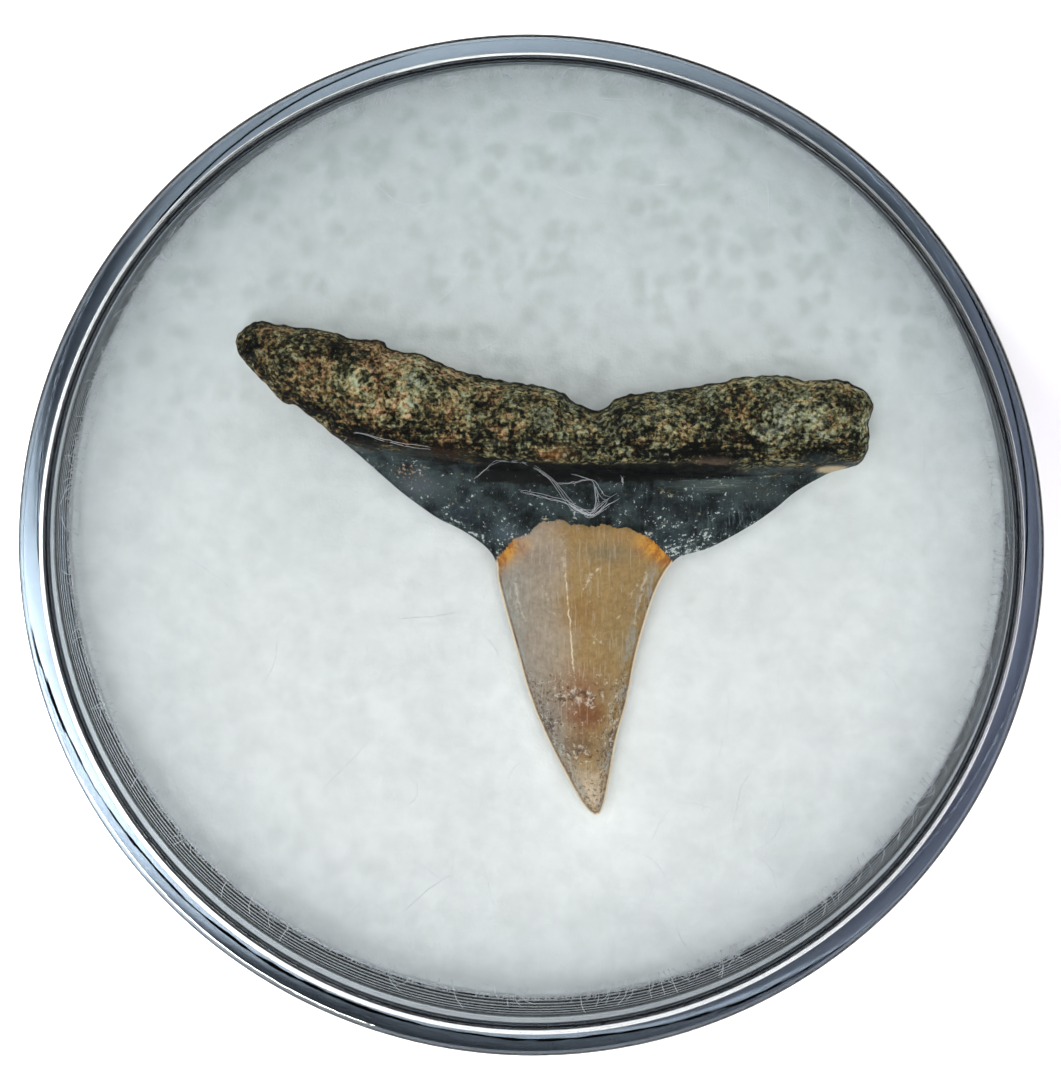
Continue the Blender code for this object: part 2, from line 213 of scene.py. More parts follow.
# Patches of the root: middle and reach along X and Y, how ragged, and how much lighter the grains are there.
ROOT_MARKS = (
    ((-4.4, 4.75), (3.4, 1.5), 0.4, 0.17),
    ((8.3, 3.9), (2.6, 1.3), 0.4, 0.2),
    ((1.0, 3.7), (1.0, 0.8), 0.4, 0.14),
    ((4.4, 3.6), (1.4, 0.7), 0.4, 0.08),
    ((-8.85, 6.25), (1.1, 1.0), 0.2, -0.3),
    ((-6.0, 6.1), (1.9, 0.55), 0.3, -0.2),
    ((-7.0, 4.2), (1.3, 0.5), 0.35, -0.25),
    ((-5.4, 3.3), (1.7, 0.65), 0.35, -0.4),
    ((-3.2, 2.8), (2.4, 0.65), 0.35, -0.45),
    ((5.5, 2.8), (2.6, 0.5), 0.4, -0.2),
    ((5.9, 4.2), (1.2, 0.8), 0.4, -0.12),
    ((2.6, 4.3), (1.4, 0.5), 0.3, -0.16),
    ((8.9, 2.8), (1.2, 0.35), 0.3, -0.2),
)
# Patches of one colour: middle, reach, how ragged, colour and share. First the root's, then the others'.
ROOT_TINTS = (
    ((-2.9, 2.75), (1.5, 0.5), 0.5, rgb(84, 50, 22), 0.55),
    ((0.85, 2.95), (0.8, 0.4), 0.5, rgb(134, 84, 36), 0.5),
    ((5.6, 2.65), (1.0, 0.3), 0.5, rgb(150, 128, 108), 0.4),
    ((9.0, 2.7), (1.0, 0.3), 0.5, rgb(56, 70, 74), 0.6),
)
# The root's stone colours by brightness, and the tints over them by hue.
ROOT_STONES = (
    (0.0, rgb(6, 8, 6)),
    (0.24, rgb(26, 26, 20)),
    (0.42, rgb(84, 78, 60)),
    (0.58, rgb(142, 133, 104)),
    (0.76, rgb(190, 181, 154)),
    (1.0, rgb(236, 232, 216)),
)
ROOT_HUES = (
    (0.1, rgb(204, 218, 214)),
    (0.35, rgb(226, 238, 212)),
    (0.5, rgb(246, 246, 216)),
    (0.7, rgb(255, 234, 192)),
    (0.95, rgb(255, 212, 180)),
)
# Single marks: middle, reach and how ragged.
CRUMBS = ((-4.0, 2.2), (1.4, 0.5), 0.3)
CRUMBS_LIMIT = ((-4.0, 2.2), (1.7, 0.6), 0.3)
CHIP = ((9.4, 2.28), (0.6, 0.2), 0.5)
LOW_RIGHT = ((6.2, 0.7), (1.6, 0.8), 0.5)
LEDGE = ((5.7, 1.85), (1.9, 0.42), 0.5)
ORANGE_CORNERS = (((-0.75, -0.55), (1.35, 1.3), 0.3), ((3.95, -0.35), (1.5, 1.25), 0.3))
FLECK_CLUSTERS = (
    ((1.4, -4.9), (1.5, 0.55), 0.4),
    ((0.5, -5.8), (0.7, 0.5), 0.4),
    ((1.4, -6.7), (0.9, 0.4), 0.4),
    ((2.55, -6.1), (0.3, 1.2), 0.3),
)
SHOULDER_MARKS = (
    # The first patch, paler on the left shoulder, is a painted sheen.
    ((-3.6, 1.7), (1.3, 0.7), 0.4, rgb(94, 102, 106), 0.75),
    ((-2.2, 0.9), (1.2, 0.8), 0.35, rgb(44, 56, 64), 0.6),
    ((5.7, 1.85), (1.8, 0.4), 0.4, rgb(86, 97, 93), 0.8),
    ((4.6, 1.0), (2.0, 0.5), 0.4, rgb(24, 32, 34), 0.6),
    ((7.2, 1.5), (1.2, 0.5), 0.4, rgb(70, 78, 74), 0.6),
    ((-0.9, 0.3), (0.7, 0.6), 0.4, rgb(92, 108, 116), 0.5),
    ((4.3, 0.2), (0.8, 0.6), 0.4, rgb(60, 76, 82), 0.5),
)
CROWN_MARKS = (
    ((1.5, -2.2), (1.0, 1.2), 0.3, rgb(150, 112, 58), 0.6),
    ((2.6, -2.9), (1.0, 1.3), 0.3, rgb(164, 138, 92), 0.6),
    ((0.1, -3.4), (0.7, 1.7), 0.3, rgb(176, 158, 140), 0.5),
    ((0.4, -0.6), (1.0, 0.8), 0.3, rgb(150, 132, 118), 0.5),
    ((2.4, -0.3), (1.4, 0.5), 0.3, rgb(126, 118, 94), 0.6),
    ((1.5, -4.7), (1.9, 0.9), 0.35, rgb(150, 122, 92), 0.6),
    ((1.45, -4.9), (1.2, 1.6), 0.4, rgb(146, 100, 66), 0.7),
    ((1.7, -5.5), (0.95, 0.85), 0.4, rgb(124, 70, 36), 0.85),
    ((1.4, -6.5), (1.2, 0.7), 0.45, rgb(112, 82, 60), 0.7),
    ((0.6, -5.6), (0.6, 1.5), 0.45, rgb(140, 130, 120), 0.65),
    ((2.4, -6.6), (0.5, 0.8), 0.4, rgb(140, 124, 108), 0.5),
    ((1.9, -8.0), (1.2, 1.05), 0.25, rgb(222, 200, 170), 0.85),
)
# Scratches on the crown: both ends, half a width, and strength.
SCRATCHES = (
    ((1.6, -1.42), (2.08, -0.8), 0.06, 0.9),
    ((1.68, -1.3), (1.86, -0.98), 0.09, 0.6),
    ((0.34, -2.05), (0.72, -2.28), 0.05, 0.9),
    ((0.2, -1.2), (0.5, -1.75), 0.04, 0.6),
    ((1.9, -2.95), (2.3, -3.2), 0.07, 0.8),
    ((2.0, -2.7), (1.95, -3.15), 0.06, 0.8),
    ((-0.75, -1.7), (-0.25, -2.5), 0.07, 0.7),
    ((2.7, -2.4), (3.35, -1.2), 0.05, 0.6),
    ((1.0, 0.3), (1.02, -1.0), 0.12, 0.4),
    ((-0.55, -1.2), (-0.45, -2.2), 0.1, 0.6),
    ((3.6, -1.0), (3.2, -2.6), 0.1, 0.6),
    ((1.3, -4.2), (1.35, -4.6), 0.05, 0.7),
)

# Fibres that lie over the tooth, and one beside it: places along each, and how many lie together.
STRANDS = (
    (((-0.33, 2.63), (0.56, 2.0), (1.35, 1.05), (1.82, 0.92)), 3),
    (((-0.39, 1.59), (0.88, 1.3), (1.82, 0.92), (2.3, 1.21), (2.71, 1.43)), 3),
    (((1.26, 2.16), (1.82, 1.94), (2.08, 1.46), (2.3, 1.37)), 2),
    (((0.72, 1.87), (1.2, 1.9), (1.76, 2.0)), 2),
    (((1.2, 1.2), (1.6, 0.98), (1.9, 0.92), (2.35, 1.3)), 6),
    (((1.95, 1.75), (2.0, 1.2), (1.75, 0.9)), 4),
    (((-1.81, 2.0), (-1.34, 2.47), (-0.86, 2.66), (-0.07, 2.54), (0.4, 2.12)), 2),
    (((-5.95, 3.1), (-5.6, 3.42), (-5.38, 3.51), (-4.34, 3.29), (-3.55, 3.14), (-2.6, 2.98)), 2),
    (((2.8, 2.09), (2.81, 1.98), (2.8, 1.87)), 3),
    (((-1.66, -3.05), (-1.3, -3.4), (-1.0, -3.95)), 2),
)
STRAND_STEPS = 28
STRAND_CURVE_STEPS = 10
STRAND_SPREAD = 0.034
STRAND_DRIFT = 0.35
STRAND_LIFT = 1.2
STRAND_THICKNESS = 0.6
STRAND_ENDS = 0.4

# The felt pad.
PAD_RADIUS = 14.9
PAD_SHIFT = (0.03, 0.06)
PAD_CENTRE_Z = 9.42
PAD_EDGE_DROP = 0.55
PAD_EDGE_POWER = 14.0
PAD_EDGE_LIMIT = 1.1
PAD_CELLS = 260
PAD_SIDE_RINGS = 18
NEST_GAP = 0.03
# The felt's broad and fine waves: height, size and seed.
FELT_WAVES = ((0.06, 4.3, 41), (0.035, 1.9, 42))
FELT_FINE_WAVES = ((0.022, 0.45, 45), (0.012, 0.24, 46))
# The dimples: one in a cell, ragged, more of them in some places, and deeper on the upper half.
DIMPLE_CELL, DIMPLE_SEED = 0.86, 43
DIMPLE_DEPTH, DIMPLE_FLOOR, DIMPLE_SLOPE = 0.035, 0.08, 0.5
DIMPLE_RAGGED, DIMPLE_RAG_SIZE, DIMPLE_RAG_SEED = 0.2, 0.28, 44
DIMPLE_PATCH_SIZE, DIMPLE_PATCH_SEED, DIMPLE_PATCH_SLOPE, DIMPLE_PATCH_START = 0.8, 48, 1.2, 0.75
DIMPLE_LEAST, DIMPLE_UPPER_Y, DIMPLE_UPPER_REACH = 0.25, 1.0, 7.0
# The felt rises a little round the tooth, and is painted a little brighter there: painted light.
LIP_HEIGHT, LIP_REACH = 0.03, 0.5
PAINTED_LIGHT_REACH = 0.9
# Painted shade: the tones that the felt's colour is multiplied by, towards its upper side and in a dimple.
FELT_UPPER_SHADE_TONE = (0.77, 0.81, 0.82)
FELT_DIMPLE_SHADE_TONE = (0.85, 0.87, 0.85)
# The pad's side: how it turns in at the top and foot, and its upright waves.
SIDE_TURN, SIDE_TURN_POWER = 0.012, 8
SIDE_WAVE, SIDE_WAVES_AROUND, SIDE_WAVES_DOWN, SIDE_SEED = 0.003, 14.0, 30.0, 47

# The tooth's lowest point is found on a coarse grid.
ZERO_SECTIONS = 120
ZERO_POINTS = 40

# The plastic and the moulded ridges inside the base's wall.
JAR_STEPS = 384
ROUND_STEPS = 8
ROUND_HOLD = 0.004
PLASTIC_IOR = 1.58
PLASTIC_WAVES = 0.006
LID_WAVES_SCALE = 0.4
BASE_WAVES_SCALE = 0.5
LID_INNER_ROUND = 0.02
LID_FOOT_ROUND = 0.08
BASE_FLOOR_ROUND = 0.2
BASE_FOOT_ROUND = 0.3
RIM_ROUND = 0.115
RIDGE_POINTS = 150
RIDGE_HEIGHT = 0.06
RIDGE_PITCH = 0.46
RIDGE_UNEVEN, RIDGE_UNEVEN_RATE = 0.15, 2.3
RIDGE_STEEPNESS = 1.1
SAME_PLACE = 1e-6
RIDGES_LOW_Z, RIDGES_LOW_FADE = 8.4, 0.3
RIDGES_HIGH_Z, RIDGES_HIGH_FADE = 11.6, 0.2

# The loose fibres: lengths, points along each, how they curl and how they lie.
FIBRE_SEED = 5
THICKNESSES = (0.7, 1.2)
LOOSE_CURL = 0.6
TUBE_FLATNESS = 0.35
TUBE_UP = (0.12, 0.21, 0.97)
SMALLEST = 1e-9
FACE_FIBRE_STEPS = 8
FACE_FIBRE_LENGTHS = (0.8, 2.8)
FACE_FIBRE_CURL = 0.16
FACE_FIBRE_LIFT = 0.012
FACE_FIBRE_ENDS = 0.35
EDGE_FIBRE_STEPS = 5
EDGE_FIBRE_LENGTHS = (0.2, 0.8)
EDGE_FIBRE_CURL = 0.22
EDGE_FIBRE_FAN = 0.95
EDGE_FIBRES_REACH = 0.55
EDGE_FIBRES_POWER = 1.5
EDGE_FIBRE_LIFT = 0.01
EDGE_FIBRE_RISE = (0.05, 0.16)
EDGE_FIBRE_SPREAD = 1.3
EDGE_FIBRE_DROP = 0.8
EDGE_FIBRE_THINNING = 0.6
WALL_CLEARANCE = 0.03
WALL_FIBRE_STEPS = 7
WALL_FIBRE_START = 14.55
WALL_FIBRE_OUT = 0.31
WALL_FIBRE_LOOSE = 0.06
WALL_FIBRE_LOW_Z = 8.95
WALL_FIBRE_CLIMB = (0.3, 2.6)
WALL_FIBRE_CLIMB_POWER = 1.6
WALL_FIBRE_THICK = (1.1, 0.5)
WALL_FIBRE_BENDS = ((0.02, 1), (0.012, 2))
# Half of them climb the wall anywhere, and the others at these places, in radians from +X, spread a little.
WALL_FIBRES_ANYWHERE = 0.5
WALL_FIBRE_PLACES = (-1.17, 2.74, -0.3)
WALL_FIBRE_SPREAD = 0.3
FLOOR_CELLS = 8
FLOOR_GAP = 0.02

# The light from all round: how bright it is at each height, from 0 at the horizon to 1 straight up.
SKY = ((0.0, 0.05), (0.25, 0.06), (0.5, 1.0), (0.9, 1.0), (0.96, 0.03))

# The lamps: azimuth and elevation in degrees, distance and width in millimetres, colour, and watts.
LAMPS = (
    (-125.0, 70.0, 300.0, 60.0, (1.0, 0.98, 0.93), 0.84),
    (-160.0, 15.0, 24.0, 4.0, (1.0, 1.0, 0.97), 0.007),
    (-262.0, 15.0, 30.0, 6.0, (1.0, 0.98, 0.9), 0.006),
    (-20.0, 15.0, 34.0, 14.0, (0.9, 0.76, 1.0), 0.0022),
    (-292.0, 15.0, 34.0, 8.0, (0.85, 0.95, 1.0), 0.001),
)

# Lamps nearer than this light the floor beside the jar but aren't seen in its wall.
NEAR_LAMP = 100.0

# How light is traced through the clear plastic.
PATH_SETTINGS = {
    "use_denoising": True,
    "blur_glossy": 0.0,
    "use_adaptive_sampling": True,
    "adaptive_threshold": 0.07,
    "adaptive_min_samples": 16,
    "max_bounces": 9,
    "transmission_bounces": 8,
    "glossy_bounces": 4,
    "diffuse_bounces": 3,
}

# The camera looks down at the middle of the lid's rim.
PHOTO_WIDTH = 1061
PHOTO_HEIGHT = 1080
RIM_MIDDLE_PIXEL = (529.0, 550.8)
PIXELS_PER_MM = 32.39
CAMERA_DISTANCE = 147.0
CAMERA_TILT = 6.0
CAMERA_SIDE = (0.375, 0.927)
SENSOR_WIDTH = 36.0


# Numbers on arrays.


def smooth_step(value):
    """The cubic that goes from 0 to 1 while the value does."""
    value = np.clip(value, 0.0, 1.0)
    return value * value * (3.0 - 2.0 * value)


def lattice_noise(x, y, size, seed):
    """Smooth noise from -1 to 1: random values on a square lattice of this size, blended between corners."""
    values = np.random.default_rng(seed).uniform(-1.0, 1.0, (NOISE_CELLS, NOISE_CELLS))
    across, along = x / size + NOISE_CELLS / 2, y / size + NOISE_CELLS / 2
    column, row = np.floor(across).astype(int), np.floor(along).astype(int)
    right, up = smooth_step(across - column), smooth_step(along - row)
    column, row = column % NOISE_CELLS, row % NOISE_CELLS
    next_column, next_row = (column + 1) % NOISE_CELLS, (row + 1) % NOISE_CELLS
    lower = values[row, column] * (1 - right) + values[row, next_column] * right
    upper = values[next_row, column] * (1 - right) + values[next_row, next_column] * right
    return lower * (1 - up) + upper * up


def cell_distance(x, y, size, seed):
    """How far each place is from the nearest of a lattice's jittered points, in cells, from 0 to about 1."""
    jitter = np.random.default_rng(seed).uniform(*CELL_JITTER, (2, NOISE_CELLS, NOISE_CELLS))
    across, along = x / size, y / size
    column, row = np.floor(across).astype(int), np.floor(along).astype(int)
    nearest = np.full(np.shape(x), np.inf)
    for down in (-1, 0, 1):
        for aside in (-1, 0, 1):
            here_column, here_row = column + aside, row + down
            jitter_x = jitter[0, here_row % NOISE_CELLS, here_column % NOISE_CELLS]
            jitter_y = jitter[1, here_row % NOISE_CELLS, here_column % NOISE_CELLS]
            away = np.hypot(here_column + jitter_x - across, here_row + jitter_y - along)
            nearest = np.minimum(nearest, away)
    return nearest


def curve_through(points, steps):
    """A smooth line through the points: between each two, the cubic whose slopes join their neighbours."""
    points = np.array(points, float)
    padded = np.concatenate([points[:1], points, points[-1:]])
    before, start, end, after = padded[:-3], padded[1:-2], padded[2:-1], padded[3:]
    share = np.linspace(0.0, 1.0, steps, endpoint=False)[None, :, None]
    start, end = start[:, None], end[:, None]
    slope_in, slope_out = (end - before[:, None]) / 2, (after[:, None] - start) / 2
    cubic = (2 * share**3 - 3 * share**2 + 1) * start + (share**3 - 2 * share**2 + share) * slope_in
    cubic = cubic + (3 * share**2 - 2 * share**3) * end + (share**3 - share**2) * slope_out
    return np.concatenate([cubic.reshape(-1, 2), points[-1:]])


def path_lengths(points):
    """How far along a broken line each of its points is."""
    return np.concatenate([[0.0], np.cumsum(np.hypot(*np.diff(points, axis=0).T))])


FINE_UPPER = curve_through(UPPER_EDGE, OUTLINE_STEPS)
FINE_LOWER = curve_through(LOWER_EDGE, OUTLINE_STEPS)


def distance_to_outline(x, y):
    """The distance from each place to the nearest side of the tooth's smooth outline."""
    nearest = np.full(np.shape(x), np.inf)
    for edge in (FINE_UPPER, FINE_LOWER):
        for start, end in zip(edge[:-1], edge[1:]):
            side = end - start
            share = ((x - start[0]) * side[0] + (y - start[1]) * side[1]) / (side @ side)
            share = np.clip(share, 0.0, 1.0)
            away = np.hypot(x - start[0] - share * side[0], y - start[1] - share * side[1])
            nearest = np.minimum(nearest, away)
    return nearest


def inside_outline(x, y):
    """Whether each place is inside the outline: a line from it to one side crosses it an odd number of
    times."""
    inside = np.zeros(np.shape(x), bool)
    loop = np.concatenate([FINE_UPPER, FINE_LOWER[::-1]])
    for start, end in zip(loop[:-1], loop[1:]):
        if start[1] == end[1]:
            continue
        crosses = (start[1] > y) != (end[1] > y)
        inside ^= crosses & (x < start[0] + (y - start[1]) * (end[0] - start[0]) / (end[1] - start[1]))
    return inside


# The tooth's form.


def step_line(x):
    """The height on the face where the porous root steps down to the smooth shoulders."""
    return np.interp(x, *STEP_LINE)


def enamel_line(x):
    """The scalloped upper margin of the crown's enamel."""
    return np.interp(x, *ENAMEL_LINE) + SCALLOP_HEIGHT * np.sin(SCALLOPS_PER_RADIAN * x)


def section_grid(sections, half_points):
    """Places (x, y) on a grid: one row for each section, from the upper edge to the lower edge.

    Between the chosen sections the others are evenly spaced along both edges. Within a section the spacing
    follows half a cosine wave, so the points are close together where the faces turn over the edges. A power
    of it then puts the middle point on the line where the root steps down to the shoulders.
    """
    upper_length, lower_length = path_lengths(FINE_UPPER), path_lengths(FINE_LOWER)
    on_upper, on_lower, chosen = np.array(SECTION_ENDS).T
    section = np.linspace(0.0, chosen[-1], sections)
    upper_at = np.interp(section, chosen, upper_length[on_upper * OUTLINE_STEPS])
    lower_at = np.interp(section, chosen, lower_length[on_lower * OUTLINE_STEPS])
    top = np.stack([np.interp(upper_at, upper_length, FINE_UPPER[:, axis]) for axis in (0, 1)], axis=-1)
    foot = np.stack([np.interp(lower_at, lower_length, FINE_LOWER[:, axis]) for axis in (0, 1)], axis=-1)
    wave = 0.5 - 0.5 * np.cos(np.linspace(0.0, math.pi, half_points))
    height = np.maximum(top[:, 1] - foot[:, 1], SHORTEST_SECTION)
    step_at = np.clip((top[:, 1] - step_line(top[:, 0])) / height, *STEP_SHARE_LIMITS)
    down = wave[None, :] ** (np.log(step_at) / np.log(0.5))[:, None]
    return top[:, None, :] + (foot - top)[:, None, :] * down[:, :, None]


def lens(share):
    """A face that rises from a sharp edge and levels out."""
    return 1.0 - (1.0 - np.clip(share, 0.0, 1.0)) ** CUTTING_EDGE_POWER


def dome(share):
    """A face that turns over a round edge: a quarter of a circle."""
    return np.sqrt(1.0 - (1.0 - np.clip(share, 0.0, 1.0)) ** 2)


def tooth_faces(x, y):
    """Front and back heights of the tooth's body above its own zero plane, and its zones: distance to the
    outline, share of root and share of enamel."""
    away = distance_to_outline(x, y)
    rooted = smooth_step((y - step_line(x)) / STEP_WIDTH + 0.5)
    down_crown = np.clip((CROWN_FOOT_Y - y) / (CROWN_FOOT_Y - CROWN_TIP_Y), 0.0, 1.0)
    crowned = smooth_step((CROWN_FOOT_Y + CROWN_BLEND_ABOVE - y) / CROWN_BLEND_HEIGHT)
    crowned = crowned * smooth_step((CROWN_REACH - abs(x - CROWN_MIDDLE_X)) / CROWN_REACH_FADE)
    half_width = TIP_HALF_WIDTH + CROWN_HALF_WIDTH * (1.0 - down_crown) ** CROWN_TAPER_POWER
    half_width = np.minimum(SHOULDER_WIDTH, half_width)

    to_end = np.clip(abs(x - ROOT_MIDDLE_X) / ROOT_HALF_LENGTH, 0.0, 1.0) ** ROOT_TAPER_POWER
    root_front = ROOT_FRONT + (ROOT_FRONT_AT_ENDS - ROOT_FRONT) * to_end
    thinned = down_crown**CROWN_THIN_POWER
    crown_front = CROWN_FRONT_AT_FOOT + (CROWN_FRONT_AT_TIP - CROWN_FRONT_AT_FOOT) * thinned
    crown_back = CROWN_BACK_AT_FOOT + (CROWN_BACK_AT_TIP - CROWN_BACK_AT_FOOT) * down_crown
    smooth_front = SHOULDER_FRONT + (crown_front - SHOULDER_FRONT) * crowned
    smooth_back = SHOULDER_BACK + (crown_back - SHOULDER_BACK) * crowned

    edge_height = CROWN_EDGE_HEIGHT - CROWN_EDGE_DROP * down_crown
    edge_height = edge_height + (ROOT_EDGE_HEIGHT - CROWN_EDGE_HEIGHT) * rooted
    edge_waves = lattice_noise(x, y, EDGE_WAVE_SIZE, NOISE_SEED + 2)
    edge_height = edge_height + EDGE_WAVE_HEIGHT * rooted * edge_waves
    cutting = lens(away / half_width)
    rounded = dome(away / ROOT_ROUND)
    front = smooth_front * cutting * (1 - rooted) + root_front * rounded * rooted
    back = smooth_back * cutting * (1 - rooted) + ROOT_BACK * rounded * rooted

    inside = smooth_step(away / RELIEF_MARGIN)
    enamel = smooth_step((enamel_line(x) - y) / ENAMEL_STEP_WIDTH + 0.5)
    front = front + ENAMEL_STEP * enamel * inside
    groove = np.exp(-(((x - GROOVE_X) / GROOVE_HALF_WIDTH) ** 2)) * rooted
    front = front - GROOVE_DEPTH * groove * inside
    trough = np.exp(-(((y - TROUGH_Y) / TROUGH_HALF_WIDTH) ** 2)) * (1 - rooted)
    front = front - TROUGH_DEPTH * trough * inside
    lumps = lattice_noise(x, y, LUMP_SIZE, NOISE_SEED)
    pits = np.minimum(lattice_noise(x, y, PIT_SIZE, NOISE_SEED + 1), 0.0)
    relief = (LUMP_HEIGHT * lumps + PIT_DEPTH * pits) * rooted * inside
    front = front + relief
    back = back + BACK_RELIEF_SHARE * relief
    return edge_height + front, edge_height - back, (away, rooted, enamel)


def fine_relief(x, y, zones, grain):
    """Height that the finer surface adds: grains, pores and long streaks on the root, striations on the
    shoulders, and fine ridges and a crack on the enamel. It fades out at the outline."""
    away, rooted, enamel = zones
    inside = smooth_step(away / RELIEF_FADE)
    grains = 1.0 - cell_distance(x, y, GRAIN_SIZE, NOISE_SEED + 11) ** 2
    coarse = 1.0 - cell_distance(x, y, COARSE_SIZE, NOISE_SEED + 12) ** 2
    pores = np.maximum(lattice_noise(x, y, PORE_SIZE, NOISE_SEED + 13) - PORE_LEVEL, 0.0)
    streaks = lattice_noise(x / STREAK_STRETCH, y + STREAK_LEAN * x, STREAK_SIZE, NOISE_SEED + 14)
    streaky = smooth_step(1.0 - abs(y - step_line(x) - STREAKS_ABOVE_STEP) / STREAKS_REACH)
    root = GRAIN_HEIGHT * grains + COARSE_HEIGHT * coarse - PORE_DEPTH * pores
    root = root + STREAK_HEIGHT * streaks * streaky
    striations = lattice_noise(x, y / STRIATION_STRETCH, STRIATION_SIZE, NOISE_SEED + 15)
    swells = lattice_noise(x, y, SWELL_SIZE, NOISE_SEED + 16)
    shoulder = STRIATION_HEIGHT * striations + SWELL_HEIGHT * swells
    ridges = lattice_noise(x, y / ENAMEL_RIDGE_STRETCH, ENAMEL_RIDGE_SIZE, NOISE_SEED + 17)
    cracked = smooth_step((y - CRACK_FOOT_Y) / CRACK_FOOT_FADE)
    cracked = cracked * smooth_step((CRACK_TOP_Y - y) / CRACK_TOP_FADE)
    groove = np.exp(-(((x - np.interp(y, *CRACK_LINE)) / CRACK_HALF_WIDTH) ** 2))
    crown = ENAMEL_RIDGE_HEIGHT * ridges - CRACK_DEPTH * cracked * groove
    smooth = shoulder * (1 - enamel) + crown * enamel
    return grain * (root * rooted + smooth * (1 - rooted)) * inside


def tooth_marks(x, y, away, rooted, enamel):
    """The numbers that the tooth's material reads at each place, by name."""
    below = step_line(x) - y
    # Where the shadow under the root's step is painted.
    step_shadow = smooth_step((below - STEP_SHADOW_TOP) / STEP_SHADOW_TOP_FADE)
    step_shadow = step_shadow * smooth_step((STEP_SHADOW_FOOT - below - STEP_SHADOW_NARROWING * x) / STEP_SHADOW_FOOT_FADE)
    step_shadow = step_shadow * smooth_step((x - STEP_SHADOW_LEFT_X) / STEP_SHADOW_LEFT_FADE)
    step_shadow = step_shadow * smooth_step((STEP_SHADOW_RIGHT_X - x) / STEP_SHADOW_RIGHT_FADE)
    border_width = BORDER_WIDTH + BORDER_WIDENING * abs(x - CROWN_MIDDLE_X)
    dust = (1 - enamel) * (DUST_EVERYWHERE + DUST_LOW * smooth_step(DUST_LOW_Y - y))
    dust = dust * (1 - DUST_LOST_IN_STEP_SHADOW * step_shadow) + enamel * DUST_ON_ENAMEL
    return {
        "away": away,
        "rooted": rooted,
        "enamel": enamel,
        "step_shadow": step_shadow,
        "border": np.exp(-(((enamel_line(x) - y) / border_width) ** 2)),
        "dust": dust * (1 - rooted),
        # Streaks and a painted shade on the root just above the step.
        "streaky": smooth_step(1.0 - abs(below + STREAKS_AND_SHADE_MIDDLE) / STREAKS_AND_SHADE_REACH),
    }


# Meshes.


def new_piece(name, points, face_groups, material):
    """A smooth object at the origin with these points, in millimetres, and faces given as index arrays."""
    mesh = bpy.data.meshes.new(name)
    points = np.asarray(points, np.float64).reshape(-1, 3) * MM
    mesh.vertices.add(len(points))
    mesh.vertices.foreach_set("co", points.astype(np.float32).ravel())
    loops = np.concatenate([group.ravel() for group in face_groups]).astype(np.int32)
    sizes = np.concatenate([np.full(len(group), group.shape[1]) for group in face_groups])
    starts = np.concatenate([[0], np.cumsum(sizes)[:-1]]).astype(np.int32)
    mesh.loops.add(len(loops))
    mesh.loops.foreach_set("vertex_index", loops)
    mesh.polygons.add(len(sizes))
    mesh.polygons.foreach_set("loop_start", starts)
    mesh.update(calc_edges=True)
    if mesh.validate():
        raise RuntimeError(f"{name} has faces that can't be right")
    mesh.shade_smooth()
    mesh.materials.append(material)
    piece = bpy.data.objects.new(name, mesh)
    bpy.context.scene.collection.objects.link(piece)
    return piece


def set_attribute(piece, name, values):
    """A number at each point of the piece, for its material to read."""
    layer = piece.data.attributes.new(name, "FLOAT", "POINT")
    layer.data.foreach_set("value", np.asarray(values, np.float32).ravel())


def on_circle(reach, angle):
    """Places (x, y) at a reach and an angle from the jar's axis."""
    return np.stack([reach * np.cos(angle), reach * np.sin(angle)], axis=-1)


def with_height(flat, height):
    """Points (x, y, z) from places (x, y) and their heights."""
    return np.concatenate([flat, height[..., None]], axis=-1)


def grid_faces(rows, columns):
    """The numbers of a grid's points, row after row, and the quads between them."""
    number = np.arange(rows * columns).reshape(rows, columns)
    quads = np.stack([number[:-1, :-1], number[:-1, 1:], number[1:, 1:], number[1:, :-1]], axis=-1)
    return number, quads.reshape(-1, 4)


def ring_faces(rings, around):
    """Quads between rings of points that each close on themselves, ring after ring."""
    ring, place = np.meshgrid(np.arange(rings - 1), np.arange(around), indexing="ij")
    after = (place + 1) % around
    here, there = ring * around, (ring + 1) * around
    return np.stack([here + place, here + after, there + after, there + place], axis=-1).reshape(-1, 4)


def fan_faces(centre, first, around, turned):
    """Triangles from one point to each side of a ring."""
    place = np.arange(around)
    after = (place + 1) % around
    side = (after, place) if turned else (place, after)
    return np.stack([np.full(around, centre), first + side[0], first + side[1]], axis=-1)


def rounded_profile(corners):
    """A line through the corners (radius, height, rounding). Each rounding is an arc between its tangent
    points, and a point a little before and after it keeps the flats beside it flat."""
    places = np.array([corner[:2] for corner in corners])
    profile = [tuple(places[0])]
    for number in range(1, len(corners) - 1):
        place, rounding = places[number], corners[number][2]
        before = places[number - 1] - place
        after = places[number + 1] - place
        before, after = before / np.hypot(*before), after / np.hypot(*after)
        half = math.acos(np.clip(before @ after, -1.0, 1.0)) / 2
        reach = rounding / math.tan(half)
        middle = place + (before + after) / np.hypot(*(before + after)) * rounding / math.sin(half)
        first, last = place + before * reach, place + after * reach
        turn = np.linspace(0.0, 1.0, ROUND_STEPS + 1)[:, None]
        sweep = math.pi - 2 * half
        arc = (first - middle) * np.sin((1 - turn) * sweep) + (last - middle) * np.sin(turn * sweep)
        arc = middle + arc / math.sin(sweep)
        profile.append(tuple(place + before * (reach + ROUND_HOLD)))
        profile += [tuple(point) for point in arc]
        profile.append(tuple(place + after * (reach + ROUND_HOLD)))
    profile.append(tuple(places[-1]))
    return np.array(profile)


